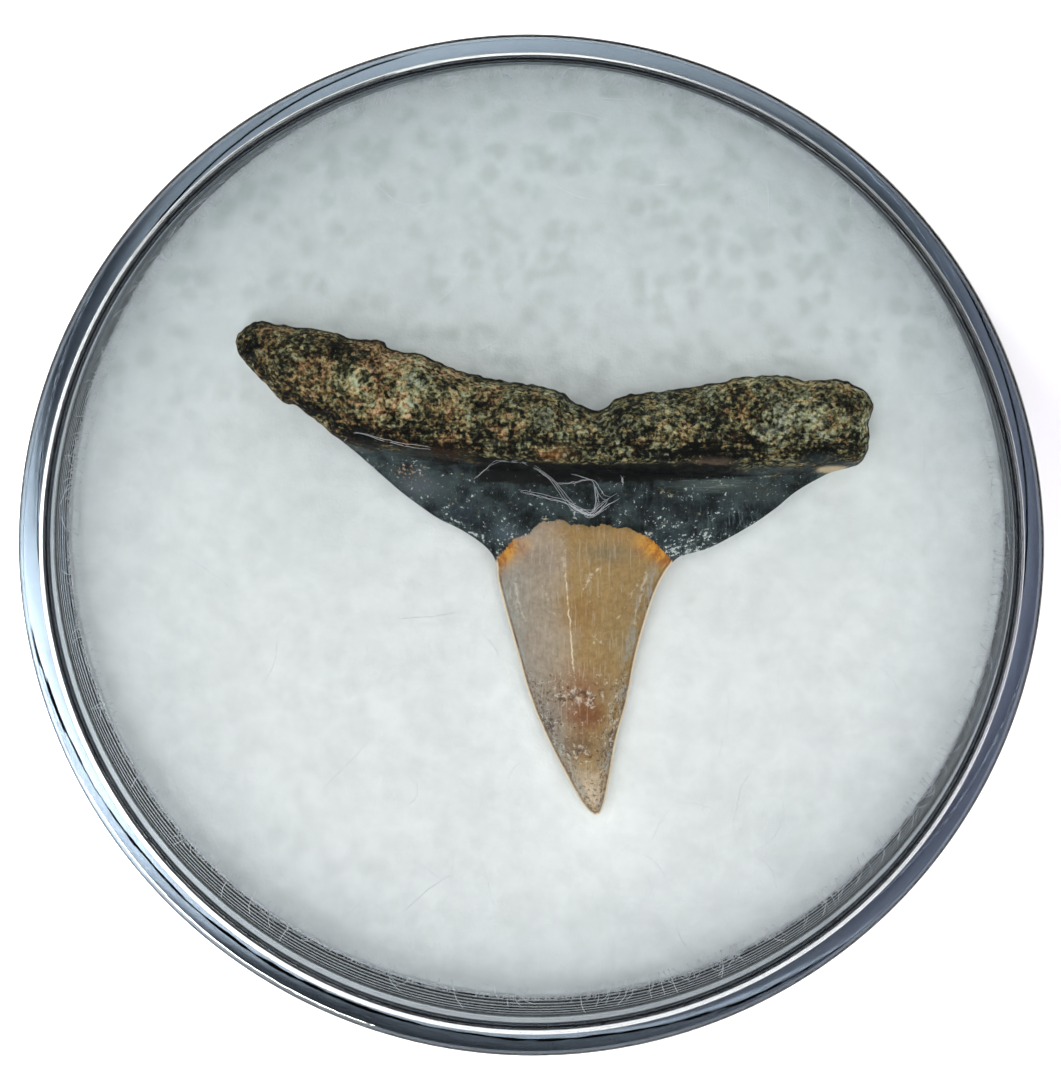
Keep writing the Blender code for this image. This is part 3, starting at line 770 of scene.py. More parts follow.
def turned_piece(name, profile, material):
    """The surface that a profile sweeps round the jar's axis. The profile starts and ends on the axis."""
    angles = np.linspace(0.0, 2 * math.pi, JAR_STEPS, endpoint=False)
    radius, height = profile[1:-1, 0], profile[1:-1, 1]
    flat = on_circle(radius[:, None], angles)
    rings = with_height(flat, np.broadcast_to(height[:, None], flat.shape[:2]))
    ends = np.array([[0.0, 0.0, profile[0, 1]], [0.0, 0.0, profile[-1, 1]]])
    points = np.concatenate([rings.reshape(-1, 3), ends])
    count = len(height) * JAR_STEPS
    quads = ring_faces(len(height), JAR_STEPS)[:, ::-1]
    top = fan_faces(count, 0, JAR_STEPS, False)
    foot = fan_faces(count + 1, count - JAR_STEPS, JAR_STEPS, True)
    return new_piece(name, points, [quads, top, foot], material)


def make_tubes(paths, radii):
    """Points and faces of thin tubes along paths, an array (tube, step, xyz). At each step a flattened ring
    of three points stands square to the path, and a triangle closes each end."""
    sides = 3
    tubes, steps, _ = paths.shape
    along = np.gradient(paths, axis=1)
    along = along / np.maximum(np.linalg.norm(along, axis=-1, keepdims=True), SMALLEST)
    side = np.cross(along, np.array(TUBE_UP))
    side = side / np.maximum(np.linalg.norm(side, axis=-1, keepdims=True), SMALLEST)
    over = TUBE_FLATNESS * np.cross(side, along)
    angles = np.linspace(0.0, 2 * math.pi, sides, endpoint=False)
    radii = np.broadcast_to(radii, (tubes, steps))[..., None, None]
    around = np.cos(angles)[:, None] * side[:, :, None] + np.sin(angles)[:, None] * over[:, :, None]
    rings = paths[:, :, None] + radii * around
    tube, step, place = np.meshgrid(np.arange(tubes), np.arange(steps - 1), np.arange(sides), indexing="ij")
    after = (place + 1) % sides
    here, there = (tube * steps + step) * sides, (tube * steps + step + 1) * sides
    quads = np.stack([here + place, there + place, there + after, here + after], axis=-1).reshape(-1, 4)
    first = np.arange(tubes)[:, None] * steps * sides + np.arange(sides)
    last = first + (steps - 1) * sides
    return rings.reshape(-1, 3), [quads, first, last[:, ::-1]]


def wander(start, heading, length, steps, curl, rng):
    """Flat wandering lines: from each start the heading drifts by a random turn at every step."""
    count = len(start)
    bend = rng.normal(0.0, curl, (count, 1)) + rng.normal(0.0, curl * LOOSE_CURL, (count, steps - 1))
    turned = np.concatenate([np.zeros((count, 1)), np.cumsum(bend, axis=1)], axis=1)[:, :-1]
    angle = heading[:, None] + turned
    stride = (length / (steps - 1))[:, None]
    steps_on = np.cumsum(stride[..., None] * on_circle(1.0, angle), axis=1)
    return start[:, None] + np.concatenate([np.zeros((count, 1, 2)), steps_on], axis=1)


def thin_ends(bow, least):
    """How thick a fibre is along it, where the bow goes from 0 at its ends to 1 in the middle."""
    return least + (1.0 - least) * bow**0.5


# The pad's form.


def dimples(x, y):
    """How far each place is inside a soft ragged dimple, from 0 to 1, and less on the lower half."""
    ragged = DIMPLE_RAGGED * lattice_noise(x, y, DIMPLE_RAG_SIZE, DIMPLE_RAG_SEED)
    away = cell_distance(x, y, DIMPLE_CELL, DIMPLE_SEED)
    dimple = 1.0 - smooth_step((away + ragged - DIMPLE_FLOOR) / DIMPLE_SLOPE)
    patches = lattice_noise(x, y, DIMPLE_PATCH_SIZE, DIMPLE_PATCH_SEED)
    wanted = smooth_step(patches * DIMPLE_PATCH_SLOPE + DIMPLE_PATCH_START)
    upper = smooth_step((y - DIMPLE_UPPER_Y) / DIMPLE_UPPER_REACH)
    return dimple * wanted * (DIMPLE_LEAST + (1.0 - DIMPLE_LEAST) * upper)


def pad_height(x, y):
    """The height of the felt's upper face: a flat that drops at its edge, with waves and small dimples."""
    radius = np.hypot(x - PAD_SHIFT[0], y - PAD_SHIFT[1]) / PAD_RADIUS
    height = PAD_CENTRE_Z - PAD_EDGE_DROP * np.clip(radius, 0.0, PAD_EDGE_LIMIT) ** PAD_EDGE_POWER
    for rise, size, seed in FELT_WAVES:
        height = height + rise * lattice_noise(x, y, size, seed)
    height = height - DIMPLE_DEPTH * dimples(x, y)
    for rise, size, seed in FELT_FINE_WAVES:
        height = height + rise * lattice_noise(x, y, size, seed)
    return height


def nested_pad_height(x, y):
    """The felt's height with the tooth in it: pressed down to its back, and a little higher round it."""
    height = pad_height(x, y)
    _, back, zones = tooth_faces(x, y)
    pressed = np.minimum(height, TOOTH_REST_Z - tooth_zero() + back - NEST_GAP)
    lip = LIP_HEIGHT * np.exp(-zones[0] / LIP_REACH)
    return np.where(inside_outline(x, y), pressed, height + lip)


def tooth_zero():
    """The height of the tooth's lowest point above its own zero plane."""
    grid = section_grid(ZERO_SECTIONS, ZERO_POINTS)
    return tooth_faces(grid[..., 0], grid[..., 1])[1].min()


# Materials.


def set_stops(ramp, stops):
    """Give a colour ramp its stops (place, colour)."""
    while len(ramp.elements) < len(stops):
        ramp.elements.new(0.5)
    for element, (place, colour) in zip(ramp.elements, stops):
        element.position = place
        element.color = (*colour, 1.0)


class Shade:
    """One material's nodes, with a short method for each kind that this object's finishes use.

    A noise's scale is counted in waves for each millimetre. Where its place is stretched instead, the stretch
    gives the waves for each millimetre along X, Y and Z. A shift only takes another part of the same noise.
    """

    def __init__(self, name):
        self.material = bpy.data.materials.new(name)
        self.material.use_nodes = True
        self.nodes = self.material.node_tree.nodes
        self.links = self.material.node_tree.links
        self.surface = self.nodes["Principled BSDF"]

    def put(self, socket, value):
        """Link another node's output to the socket, or set the socket's own number or colour."""
        if isinstance(value, bpy.types.NodeSocket):
            self.links.new(value, socket)
        elif socket.type == "RGBA" and len(value) == 3:
            socket.default_value = (*value, 1.0)
        else:
            socket.default_value = value

    def place(self, scale=(1.0, 1.0, 1.0), shift=(0.0, 0.0, 0.0)):
        """Object coordinates in millimetres, stretched and then shifted."""
        mapping = self.nodes.new("ShaderNodeMapping")
        mapping.inputs["Location"].default_value = shift
        mapping.inputs["Scale"].default_value = [share / MM for share in scale]
        self.links.new(self.nodes.new("ShaderNodeTexCoord").outputs["Object"], mapping.inputs["Vector"])
        return mapping.outputs["Vector"]

    def axis(self, vector, letter):
        """One coordinate of a vector."""
        parts = self.nodes.new("ShaderNodeSeparateXYZ")
        self.put(parts.inputs[0], vector)
        return parts.outputs[letter]

    def calc(self, operation, first, second=0.0, third=0.0):
        """A sum, product or other operation on numbers."""
        node = self.nodes.new("ShaderNodeMath")
        node.operation = operation
        for socket, value in zip(node.inputs, (first, second, third)):
            self.put(socket, value)
        return node.outputs[0]

    def times(self, first, *others):
        """A product of two or more numbers."""
        for other in others:
            first = self.calc("MULTIPLY", first, other)
        return first

    def line(self, value, slope, start):
        """The value times a slope, and a start added."""
        return self.calc("MULTIPLY_ADD", value, slope, start)

    def fall(self, value, low, high):
        """A number that goes smoothly from 1 to 0 while the value goes from low to high."""
        return self.between(value, low, high, 1.0, 0.0)

    def between(self, value, low, high, to_low=0.0, to_high=1.0):
        """A number that goes smoothly from one result to another while the value goes from low to high."""
        node = self.nodes.new("ShaderNodeMapRange")
        node.interpolation_type = "SMOOTHSTEP"
        for socket, number in zip(node.inputs, (value, low, high, to_low, to_high)):
            self.put(socket, number)
        return node.outputs["Result"]

    def blend(self, share, first, second, way="MIX"):
        """Two colours mixed by a share."""
        node = self.nodes.new("ShaderNodeMix")
        node.data_type = "RGBA"
        node.blend_type = way
        colours = [socket for socket in node.inputs if socket.type == "RGBA"]
        self.put(node.inputs["Factor"], share)
        self.put(colours[0], first)
        self.put(colours[1], second)
        return [socket for socket in node.outputs if socket.type == "RGBA"][0]

    def noise(self, place, scale, detail=2.0, roughness=0.5):
        """Cloudy noise from 0 to 1."""
        node = self.nodes.new("ShaderNodeTexNoise")
        self.put(node.inputs["Vector"], place)
        self.put(node.inputs["Scale"], scale)
        self.put(node.inputs["Detail"], detail)
        self.put(node.inputs["Roughness"], roughness)
        return node.outputs["Fac"]

    def waves(self, *settings, stretch=(1.0, 1.0, 1.0), shift=(0.0, 0.0, 0.0)):
        """The noise at a place of its own, by its scale, detail and roughness."""
        return self.noise(self.place(stretch, shift), *settings)

    def cells(self, place, scale):
        """A random number from 0 to 1 for each cell round a jittered point."""
        node = self.nodes.new("ShaderNodeTexVoronoi")
        self.put(node.inputs["Vector"], place)
        self.put(node.inputs["Scale"], scale)
        return self.axis(node.outputs["Color"], "X")

    def ramp(self, value, stops):
        """A colour read from stops (place, colour) by a number."""
        node = self.nodes.new("ShaderNodeValToRGB")
        set_stops(node.color_ramp, stops)
        self.put(node.inputs["Fac"], value)
        return node.outputs["Color"]

    def attribute(self, name):
        """A number that the mesh holds at each point."""
        node = self.nodes.new("ShaderNodeAttribute")
        node.attribute_name = name
        return node.outputs["Fac"]

    def spot(self, centre, reach, ragged=0.0, soft=1.0):
        """A mark on the face: 1 in the middle and 0 outside its reach along X and Y, with a ragged edge."""
        scale = (1.0 / reach[0], 1.0 / reach[1], 0.0)
        shift = (-centre[0] / reach[0], -centre[1] / reach[1], 0.0)
        length = self.nodes.new("ShaderNodeVectorMath")
        length.operation = "LENGTH"
        self.put(length.inputs[0], self.place(scale, shift))
        away = length.outputs["Value"]
        if ragged:
            rough = self.waves(2.6, 4.0, 0.6)
            away = self.calc("ADD", away, self.line(rough, 2.0 * ragged, -ragged))
        return self.fall(away, 1.0 - soft, 1.0)

    def stroke(self, start, end, width):
        """A short straight mark: 1 along the line between two places and 0 at its width."""
        turn = math.atan2(end[1] - start[1], end[0] - start[0])
        length = math.hypot(end[0] - start[0], end[1] - start[1])
        along = start[0] * math.cos(turn) + start[1] * math.sin(turn)
        across = start[1] * math.cos(turn) - start[0] * math.sin(turn)
        place = self.place(shift=(-along, -across, 0.0))
        place.node.inputs["Rotation"].default_value = (0.0, 0.0, -turn)
        x = self.axis(place, "X")
        beyond = self.calc("SUBTRACT", x, self.calc("MINIMUM", self.calc("MAXIMUM", x, 0.0), length))
        bend = self.line(self.waves(3.0, 3.0, 0.7), 0.3, -0.15)
        aside = self.calc("ADD", self.axis(place, "Y"), bend)
        away = self.calc("SQRT", self.line(aside, aside, self.times(beyond, beyond)))
        return self.fall(away, 0.0, width)

    def marked(self, base, marks):
        """A colour with ragged patches of other colours laid over it."""
        for centre, reach, ragged, colour, share in marks:
            base = self.blend(self.times(self.spot(centre, reach, ragged), share), base, colour)
        return base

    def bump(self, height, depth):
        """A normal from a height between 0 and 1, with the depth of that range in millimetres."""
        node = self.nodes.new("ShaderNodeBump")
        node.inputs["Distance"].default_value = depth * MM
        self.put(node.inputs["Height"], height)
        return node.outputs["Normal"]

    def finish(self, **inputs):
        """Set the Principled shader's inputs, named with underscores, and give the material."""
        for name, value in inputs.items():
            self.put(self.surface.inputs[name.replace("_", " ")], value)
        return self.material


def root_colour(shade):
    """Porous root: grains of tan, brown, grey and pale stone on near-black, lighter or darker in patches."""
    place = shade.place()
    tone = shade.cells(place, 8.5)
    coarse_tone = shade.cells(shade.place(shift=(0.3, 0.7, 0.0)), 4.6)
    grain = shade.between(shade.noise(place, 7.5, 3.0, 0.65), 0.35, 0.65)
    patches = shade.waves(1.15, 3.0, 0.6, shift=(5.0, 2.0, 0.0))
    value = shade.line(tone, 0.42, shade.times(coarse_tone, 0.16))
    value = shade.line(grain, 0.42, value)
    value = shade.line(patches, 1.0, shade.calc("ADD", value, -0.57))
    streaks = shade.waves(1.0, 2.0, 0.6, stretch=(1.1, 9.0, 1.0))
    # Streaks above the step, darker on the whole: real streaks and a painted shade.
    streaks_and_shade = shade.attribute("streaky")
    value = shade.line(shade.line(streaks, 1.2, -0.7), streaks_and_shade, value)
    for *mark, change in ROOT_MARKS:
        value = shade.line(shade.spot(*mark), change, value)
    # Painted light: grains a little lighter inside the outline, against the shade where the face turns over.
    value = shade.line(shade.fall(shade.attribute("away"), 0.08, 0.5), 0.1, value)
    # Right at the outline the grains are darker, in a thin line.
    value = shade.line(shade.fall(shade.attribute("away"), 0.0, 0.07), -0.35, value)
    stone = shade.ramp(value, ROOT_STONES)
    hue_place = shade.place(shift=(3.0, 1.0, 0.0))
    hue = shade.cells(hue_place, 5.5)
    hue = shade.line(shade.noise(hue_place, 0.9, 2.0), 1.3, shade.line(hue, 0.7, -0.5))
    hue = shade.calc("ADD", hue, shade.between(shade.axis(place, "X"), -3.5, 1.5, 0.12, -0.1))
    stone = shade.blend(1.0, stone, shade.ramp(hue, ROOT_HUES), "MULTIPLY")
    return shade.marked(stone, ROOT_TINTS)


def shoulder_colour(shade):
    """Smooth dark blue-grey shoulders, mottled, with a lighter ledge and upright streaks."""
    clouds = shade.waves(1.3, 6.0, 0.72)
    base = shade.blend(shade.between(clouds, 0.36, 0.66), rgb(10, 17, 18), rgb(66, 79, 80))
    # Patches of colour, the first of them a painted sheen on the left shoulder.
    base = shade.marked(base, SHOULDER_MARKS)
    upright = shade.waves(1.0, 3.0, 0.65, stretch=(15.0, 2.4, 1.0))
    low_right = shade.spot(*LOW_RIGHT)
    level = shade.waves(1.0, 2.0, 0.6, stretch=(1.6, 15.0, 1.0))
    ledge = shade.spot(*LEDGE)
    for streaks, where, colour in (
        (upright, low_right, rgb(126, 142, 150)),
        (level, ledge, rgb(150, 160, 150)),
        (upright, 0.3, rgb(92, 106, 112)),
    ):
        share = shade.times(shade.between(streaks, 0.52, 0.72), where)
        base = shade.blend(shade.times(share, 0.6), base, colour)
    return base


def flecks(shade, amount, shift):
    """Ragged small dots, few where the amount is 0 and many where it is 1."""
    noise = shade.waves(8.0, 4.0, 0.72, shift=(shift, 0.0, 0.0))
    return shade.between(shade.line(amount, 0.14, noise), 0.66, 0.72)


def enamel_colour(shade):
    """Worn translucent enamel: grey-beige on the left, tan on the right, red-brown lower down, a pale tip, an
    orange border, a painted grey sheen at the edges, painted light along the outline, a pale crack, scratches,
    and pale and brown flecks below."""
    place = shade.place()
    x, y = shade.axis(place, "X"), shade.axis(place, "Y")
    away = shade.attribute("away")
    lean = shade.line(y, CROWN_LEAN, x)
    clouds = shade.noise(place, 1.1, 4.0, 0.6)
    base = shade.blend(shade.between(lean, -1.2, 1.0), rgb(166, 158, 146), rgb(176, 156, 130))
    split = shade.line(shade.noise(place, 0.9, 4.0, 0.6), 1.4, lean)
    base = shade.blend(shade.between(split, 1.25, 2.0), base, rgb(166, 136, 88))
    base = shade.marked(base, CROWN_MARKS)
    # Painted sheen: the enamel paler and greyer towards its edges, in patches.
    painted_edge_sheen = shade.fall(away, 0.1, 0.7)
    patchy = shade.between(shade.waves(1.0, 4.0, 0.7, stretch=(3.6, 1.1, 1.0)), 0.46, 0.58)
    base = shade.blend(shade.times(painted_edge_sheen, patchy, 0.7), base, rgb(178, 181, 172))
    fine = shade.noise(place, 4.5, 6.0, 0.78)
    grain = shade.ramp(fine, ((0.34, (0.76, 0.75, 0.74)), (0.66, (1.16, 1.16, 1.16))))
    base = shade.blend(1.0, base, grain, "MULTIPLY")
    for scale, shift, colour, share in (
        ((13.0, 1.1, 1.0), (0.0, 4.0, 0.0), rgb(218, 210, 192), 0.34),
        ((11.0, 1.3, 1.0), (7.0, 1.0, 0.0), rgb(112, 84, 56), 0.34),
    ):
        streaks = shade.between(shade.noise(shade.place(scale, shift), 1.0, 3.0, 0.65), 0.54, 0.74)
        base = shade.blend(shade.times(streaks, share), base, colour)
    worn = shade.between(y, -3.4, -4.6)
    low_edge = shade.times(shade.between(away, 0.1, 0.8, 1.0, 0.25), worn)
    brown = shade.times(flecks(shade, shade.times(low_edge, 1.1), 9.0), worn)
    base = shade.blend(shade.times(brown, 0.75), base, rgb(92, 66, 50))
    clusters = shade.between(y, -3.9, -4.3, 0.0, 0.12)
    for mark in FLECK_CLUSTERS:
        clusters = shade.calc("MAXIMUM", clusters, shade.spot(*mark))
    for shift, colour in ((20.0, rgb(226, 214, 192)), (23.0, rgb(66, 46, 34))):
        noise = shade.waves(5.5, 5.0, 0.75, shift=(shift, 0.0, 0.0))
        share = shade.between(shade.line(clusters, 0.12, noise), 0.58, 0.68)
        share = shade.times(share, shade.between(clusters, 0.0, 0.12), 0.75)
        base = shade.blend(share, base, colour)
    corners = shade.calc("MAXIMUM", *[shade.spot(*mark) for mark in ORANGE_CORNERS])
    orange = shade.line(corners, 1.35, shade.line(clouds, 1.2, -0.55))
    orange = shade.times(shade.attribute("border"), orange)
    orange = shade.times(shade.between(fine, 0.3, 0.5, 0.5, 1.0), orange)
    orange = shade.calc("MAXIMUM", shade.calc("MINIMUM", orange, 0.95), 0.0)
    golden = shade.between(shade.noise(place, 2.4, 4.0, 0.7), 0.38, 0.62)
    base = shade.blend(orange, base, shade.blend(golden, rgb(172, 98, 34), rgb(230, 166, 62)))
    wobble = shade.line(shade.waves(1.0, 3.0, stretch=(0.0, 3.0, 0.0)), 0.2, -0.1)
    aside = shade.calc("ADD", shade.calc("SUBTRACT", lean, PALE_CRACK_X), wobble)
    crack = shade.fall(shade.calc("ABSOLUTE", aside), 0.008, 0.036)
    broken = shade.between(shade.waves(1.0, 3.0, stretch=(0.5, 6.0, 0.0)), 0.38, 0.55, 0.25, 1.0)
    crack = shade.times(crack, shade.times(broken, shade.between(y, -4.2, -3.9)))
    crack = shade.times(crack, shade.between(y, -0.6, -1.4))
    base = shade.blend(shade.times(crack, 0.8), base, rgb(240, 224, 190))
    for *line, share in SCRATCHES:
        mark = shade.times(shade.stroke(*line), share)
        base = shade.blend(shade.times(mark, shade.between(fine, 0.44, 0.6)), base, rgb(222, 212, 190))
    # Painted light along the outline: a cream rim, and then a thin dark brown line just inside it.
    base = shade.blend(shade.fall(away, 0.03, 0.08), base, rgb(246, 228, 194))
    edge = shade.times(shade.between(away, 0.05, 0.08), shade.fall(away, 0.1, 0.16))
    return shade.blend(shade.times(edge, shade.between(fine, 0.38, 0.62)), base, rgb(116, 84, 58))


def tooth_material():
    """The fossil's three finishes, shared out by numbers that its mesh holds."""
    shade = Shade("fossil_tooth")
    rooted, enamel = shade.attribute("rooted"), shade.attribute("enamel")
    root, shoulder, crown = root_colour(shade), shoulder_colour(shade), enamel_colour(shade)
    ragged = shade.waves(1.3, 7.0, 0.72, stretch=(1.0, 1.6, 1.0))
    ragged_root = shade.between(shade.line(ragged, 3.6, shade.calc("ADD", rooted, -1.8)), 0.3, 0.7)
    jagged = shade.waves(7.0, 3.0, 0.7)
    ragged_enamel = shade.between(shade.line(jagged, 1.2, shade.calc("ADD", enamel, -0.6)), 0.4, 0.6)
    colour = shade.blend(ragged_root, shoulder, root)
    crumbs = flecks(shade, shade.spot(*CRUMBS), 4.0)
    crumbs = shade.times(crumbs, shade.spot(*CRUMBS_LIMIT, soft=0.5))
    colour = shade.blend(crumbs, colour, rgb(176, 146, 118))
    # A near-black painted shadow under the root's step, with a ragged edge.
    step_shadow = shade.line(ragged, -2.2, shade.calc("ADD", shade.attribute("step_shadow"), 1.1))
    colour = shade.blend(shade.between(step_shadow, 0.3, 0.7, 0.0, 0.97), colour, rgb(4, 7, 6))
    chip = shade.spot(*CHIP, soft=0.5)
    colour = shade.blend(chip, colour, shade.blend(ragged, rgb(140, 118, 84), rgb(240, 216, 172)))
    dusty = shade.between(shade.waves(1.3, 3.0, 0.65), 0.4, 0.6)
    lots = shade.times(shade.attribute("dust"), shade.line(dusty, 0.7, 0.3))
    pale = shade.times(flecks(shade, lots, 0.0), shade.between(lots, 0.0, 0.15))
    colour = shade.blend(ragged_enamel, colour, crown)
    colour = shade.blend(pale, colour, rgb(208, 216, 210))
    grain = shade.waves(14.0, 4.0, 0.7)
    bump = shade.bump(shade.times(grain, shade.line(rooted, 0.85, 0.15)), 0.09)
    smooth = shade.between(shade.waves(4.0, 3.0), 0.3, 0.7, 0.35, 0.5)
    roughness = shade.line(rooted, 0.4, smooth)
    return shade.finish(Base_Color=colour, Roughness=roughness, Normal=bump, Specular_IOR_Level=0.1)


def felt_material(settings):
    """White felt: faint clouds, painted shade at the top and in dimples, and painted light round the tooth."""
    shade = Shade("white_felt")
    clouds = shade.waves(0.35, 4.0, 0.6)
    base = shade.blend(clouds, rgb(233, 236, 232), settings.pad_colour)
    # Painted shade: the felt darker towards its upper side.
    upper = shade.between(shade.axis(shade.place(), "Y"), -6.0, 13.0)
    base = shade.blend(upper, base, FELT_UPPER_SHADE_TONE, "MULTIPLY")
    # Painted light: the felt brighter close round the tooth.
    base = shade.blend(1.0, base, shade.line(shade.attribute("near"), 0.3, 1.0), "MULTIPLY")
    # Painted shade in the dimples.
    base = shade.blend(shade.attribute("dimple"), base, FELT_DIMPLE_SHADE_TONE, "MULTIPLY")
    mottle = shade.waves(1.1, 3.0, 0.6)
    base = shade.blend(1.0, base, shade.between(mottle, 0.3, 0.7, 0.95, 1.03), "MULTIPLY")
    fuzz = shade.waves(9.0, 3.0, 0.6)
    base = shade.blend(1.0, base, shade.between(fuzz, 0.3, 0.7, 0.975, 1.01), "MULTIPLY")
    return shade.finish(Base_Color=base, Roughness=0.95, Normal=shade.bump(fuzz, 0.02), Sheen_Weight=0.2)


def fibre_material():
    """Fine white fibres, a little glossy, each stretch of its own brightness."""
    shade = Shade("white_fibre")
    tone = shade.waves(3.0, 2.0)
    base = shade.blend(tone, rgb(222, 226, 230), rgb(250, 250, 250))
    return shade.finish(Base_Color=base, Roughness=0.5)


def clear_material(name, tint, density, scale):
    """Clear moulded plastic: plain transmission with a blue-grey absorption, and hardly any roughness."""
    shade = Shade(name)
    waves = shade.bump(shade.waves(scale, 2.0), PLASTIC_WAVES)
    white = (1.0, 1.0, 1.0)
    shade.finish(Base_Color=white, Transmission_Weight=1.0, IOR=PLASTIC_IOR, Roughness=0.0, Normal=waves)
    smoke = shade.nodes.new("ShaderNodeVolumeAbsorption")
    shade.put(smoke.inputs["Color"], tuple(tint))
    shade.put(smoke.inputs["Density"], density)
    shade.links.new(smoke.outputs["Volume"], shade.nodes["Material Output"].inputs["Volume"])
    return shade.material


def floor_material():
    """A plain pale floor, faintly uneven in tone."""
    shade = Shade("pale_floor")
    tone = shade.waves(0.02, 2.0)
    return shade.finish(Base_Color=shade.blend(tone, rgb(230, 230, 230), rgb(233, 233, 233)), Roughness=0.9)


# Settings that a user would change.


class ToothSettings(bpy.types.PropertyGroup):
    """How the fossil looks."""

    grain: FloatProperty(name="Grain", description="How deep the grains and pores are", default=1.0, min=0.0)


class PadSettings(bpy.types.PropertyGroup):
    """How the felt pad looks."""

    pad_colour: FloatVectorProperty(
        name="Colour", description="The felt's colour", subtype="COLOR", size=3, default=rgb(249, 251, 247)
    )
    face_fibres: IntProperty(
        name="Face fibres", description="How many fibres lie on the pad's face", default=90, min=1
    )
    edge_fibres: IntProperty(
        name="Edge fibres", description="How many fibres stand out round the pad's edge", default=5000, min=1
    )
    wall_fibres: IntProperty(
        name="Wall fibres", description="How many fibres climb the jar's wall", default=300, min=1
    )
    thickness: FloatProperty(
        name="Fibre thickness", description="How thick a fibre is", unit="LENGTH", default=0.024 * MM
    )


class JarSettings(bpy.types.PropertyGroup):
    """How the clear jar looks."""

    tint: FloatVectorProperty(
        name="Tint", description="The colour that the plastic lets through", subtype="COLOR", size=3,
        default=(0.38, 0.46, 0.54),
    )
    density: FloatProperty(
        name="Density", description="How strongly the lid takes up light", default=210.0, min=0.0
    )
    base_density: FloatProperty(
        name="Base density", description="How strongly the smoky base takes up light", default=3000.0, min=0.0
    )
    rim_rounding: FloatProperty(
        name="Rim rounding", description="The radius of the lid's outer edge", unit="LENGTH", default=0.2 * MM
    )


class StageSettings(bpy.types.PropertyGroup):
    """The floor and the light."""

    brightness: FloatProperty(
        name="Brightness", description="How bright the studio is", default=1.68, min=0.0
    )
    floor_reach: FloatProperty(
        name="Floor", description="The width of the floor", unit="LENGTH", default=1.6
    )


# The pieces.


class FOSSIL_OT_tooth(bpy.types.Operator):
    """Make the fossil tooth"""

    bl_idname = "fossil.tooth"
    bl_label = "Tooth"

    def execute(self, context):
        """Loft the tooth: each section is a closed loop, over the front face and back under it.

        A point of the front is (x, y, front(x, y) + fine relief) and one of the back is (x, y, back(x, y)
        less a share of it), where (x, y) runs over the grid of sections. Noise then moves the root's points
        aside a little. The first and last sections are closed by a face each.
        """
        grain = context.scene.fossil_tooth.grain
        rest = TOOTH_REST_Z - tooth_zero()
        front_grid = section_grid(SECTIONS, FRONT_POINTS)
        back_grid = section_grid(SECTIONS, BACK_POINTS)[:, 1:-1][:, ::-1]
        x, y = front_grid[..., 0], front_grid[..., 1]
        front, _, front_zones = tooth_faces(x, y)
        front = front + fine_relief(x, y, front_zones, grain) + rest
        x, y = back_grid[..., 0], back_grid[..., 1]
        _, back, back_zones = tooth_faces(x, y)
        back = back - BACK_FINE_SHARE * fine_relief(x, y, back_zones, grain) + rest
        points = np.concatenate([with_height(front_grid, front), with_height(back_grid, back)], axis=1)
        zones = [np.concatenate(pair, axis=1) for pair in zip(front_zones, back_zones)]
        x, y = points[..., 0].copy(), points[..., 1].copy()
        rough = EDGE_ROUGHNESS * zones[1]
        across, fine, coarse = [lattice_noise(x, y, size, NOISE_SEED + seed) for size, seed in ROUGHENINGS]
        points[..., 0] += rough * across
        points[..., 1] += rough * (fine + coarse)
        around = points.shape[1]
        quads = ring_faces(SECTIONS, around)
        ends = [np.arange(around)[None, ::-1], (SECTIONS - 1) * around + np.arange(around)[None]]
        tooth = new_piece("fossil_tooth", points, [quads, *ends], tooth_material())
        for name, values in tooth_marks(x, y, *zones).items():
            set_attribute(tooth, name, values)
        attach(tooth, BODY)
        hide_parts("tooth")
        return {"FINISHED"}


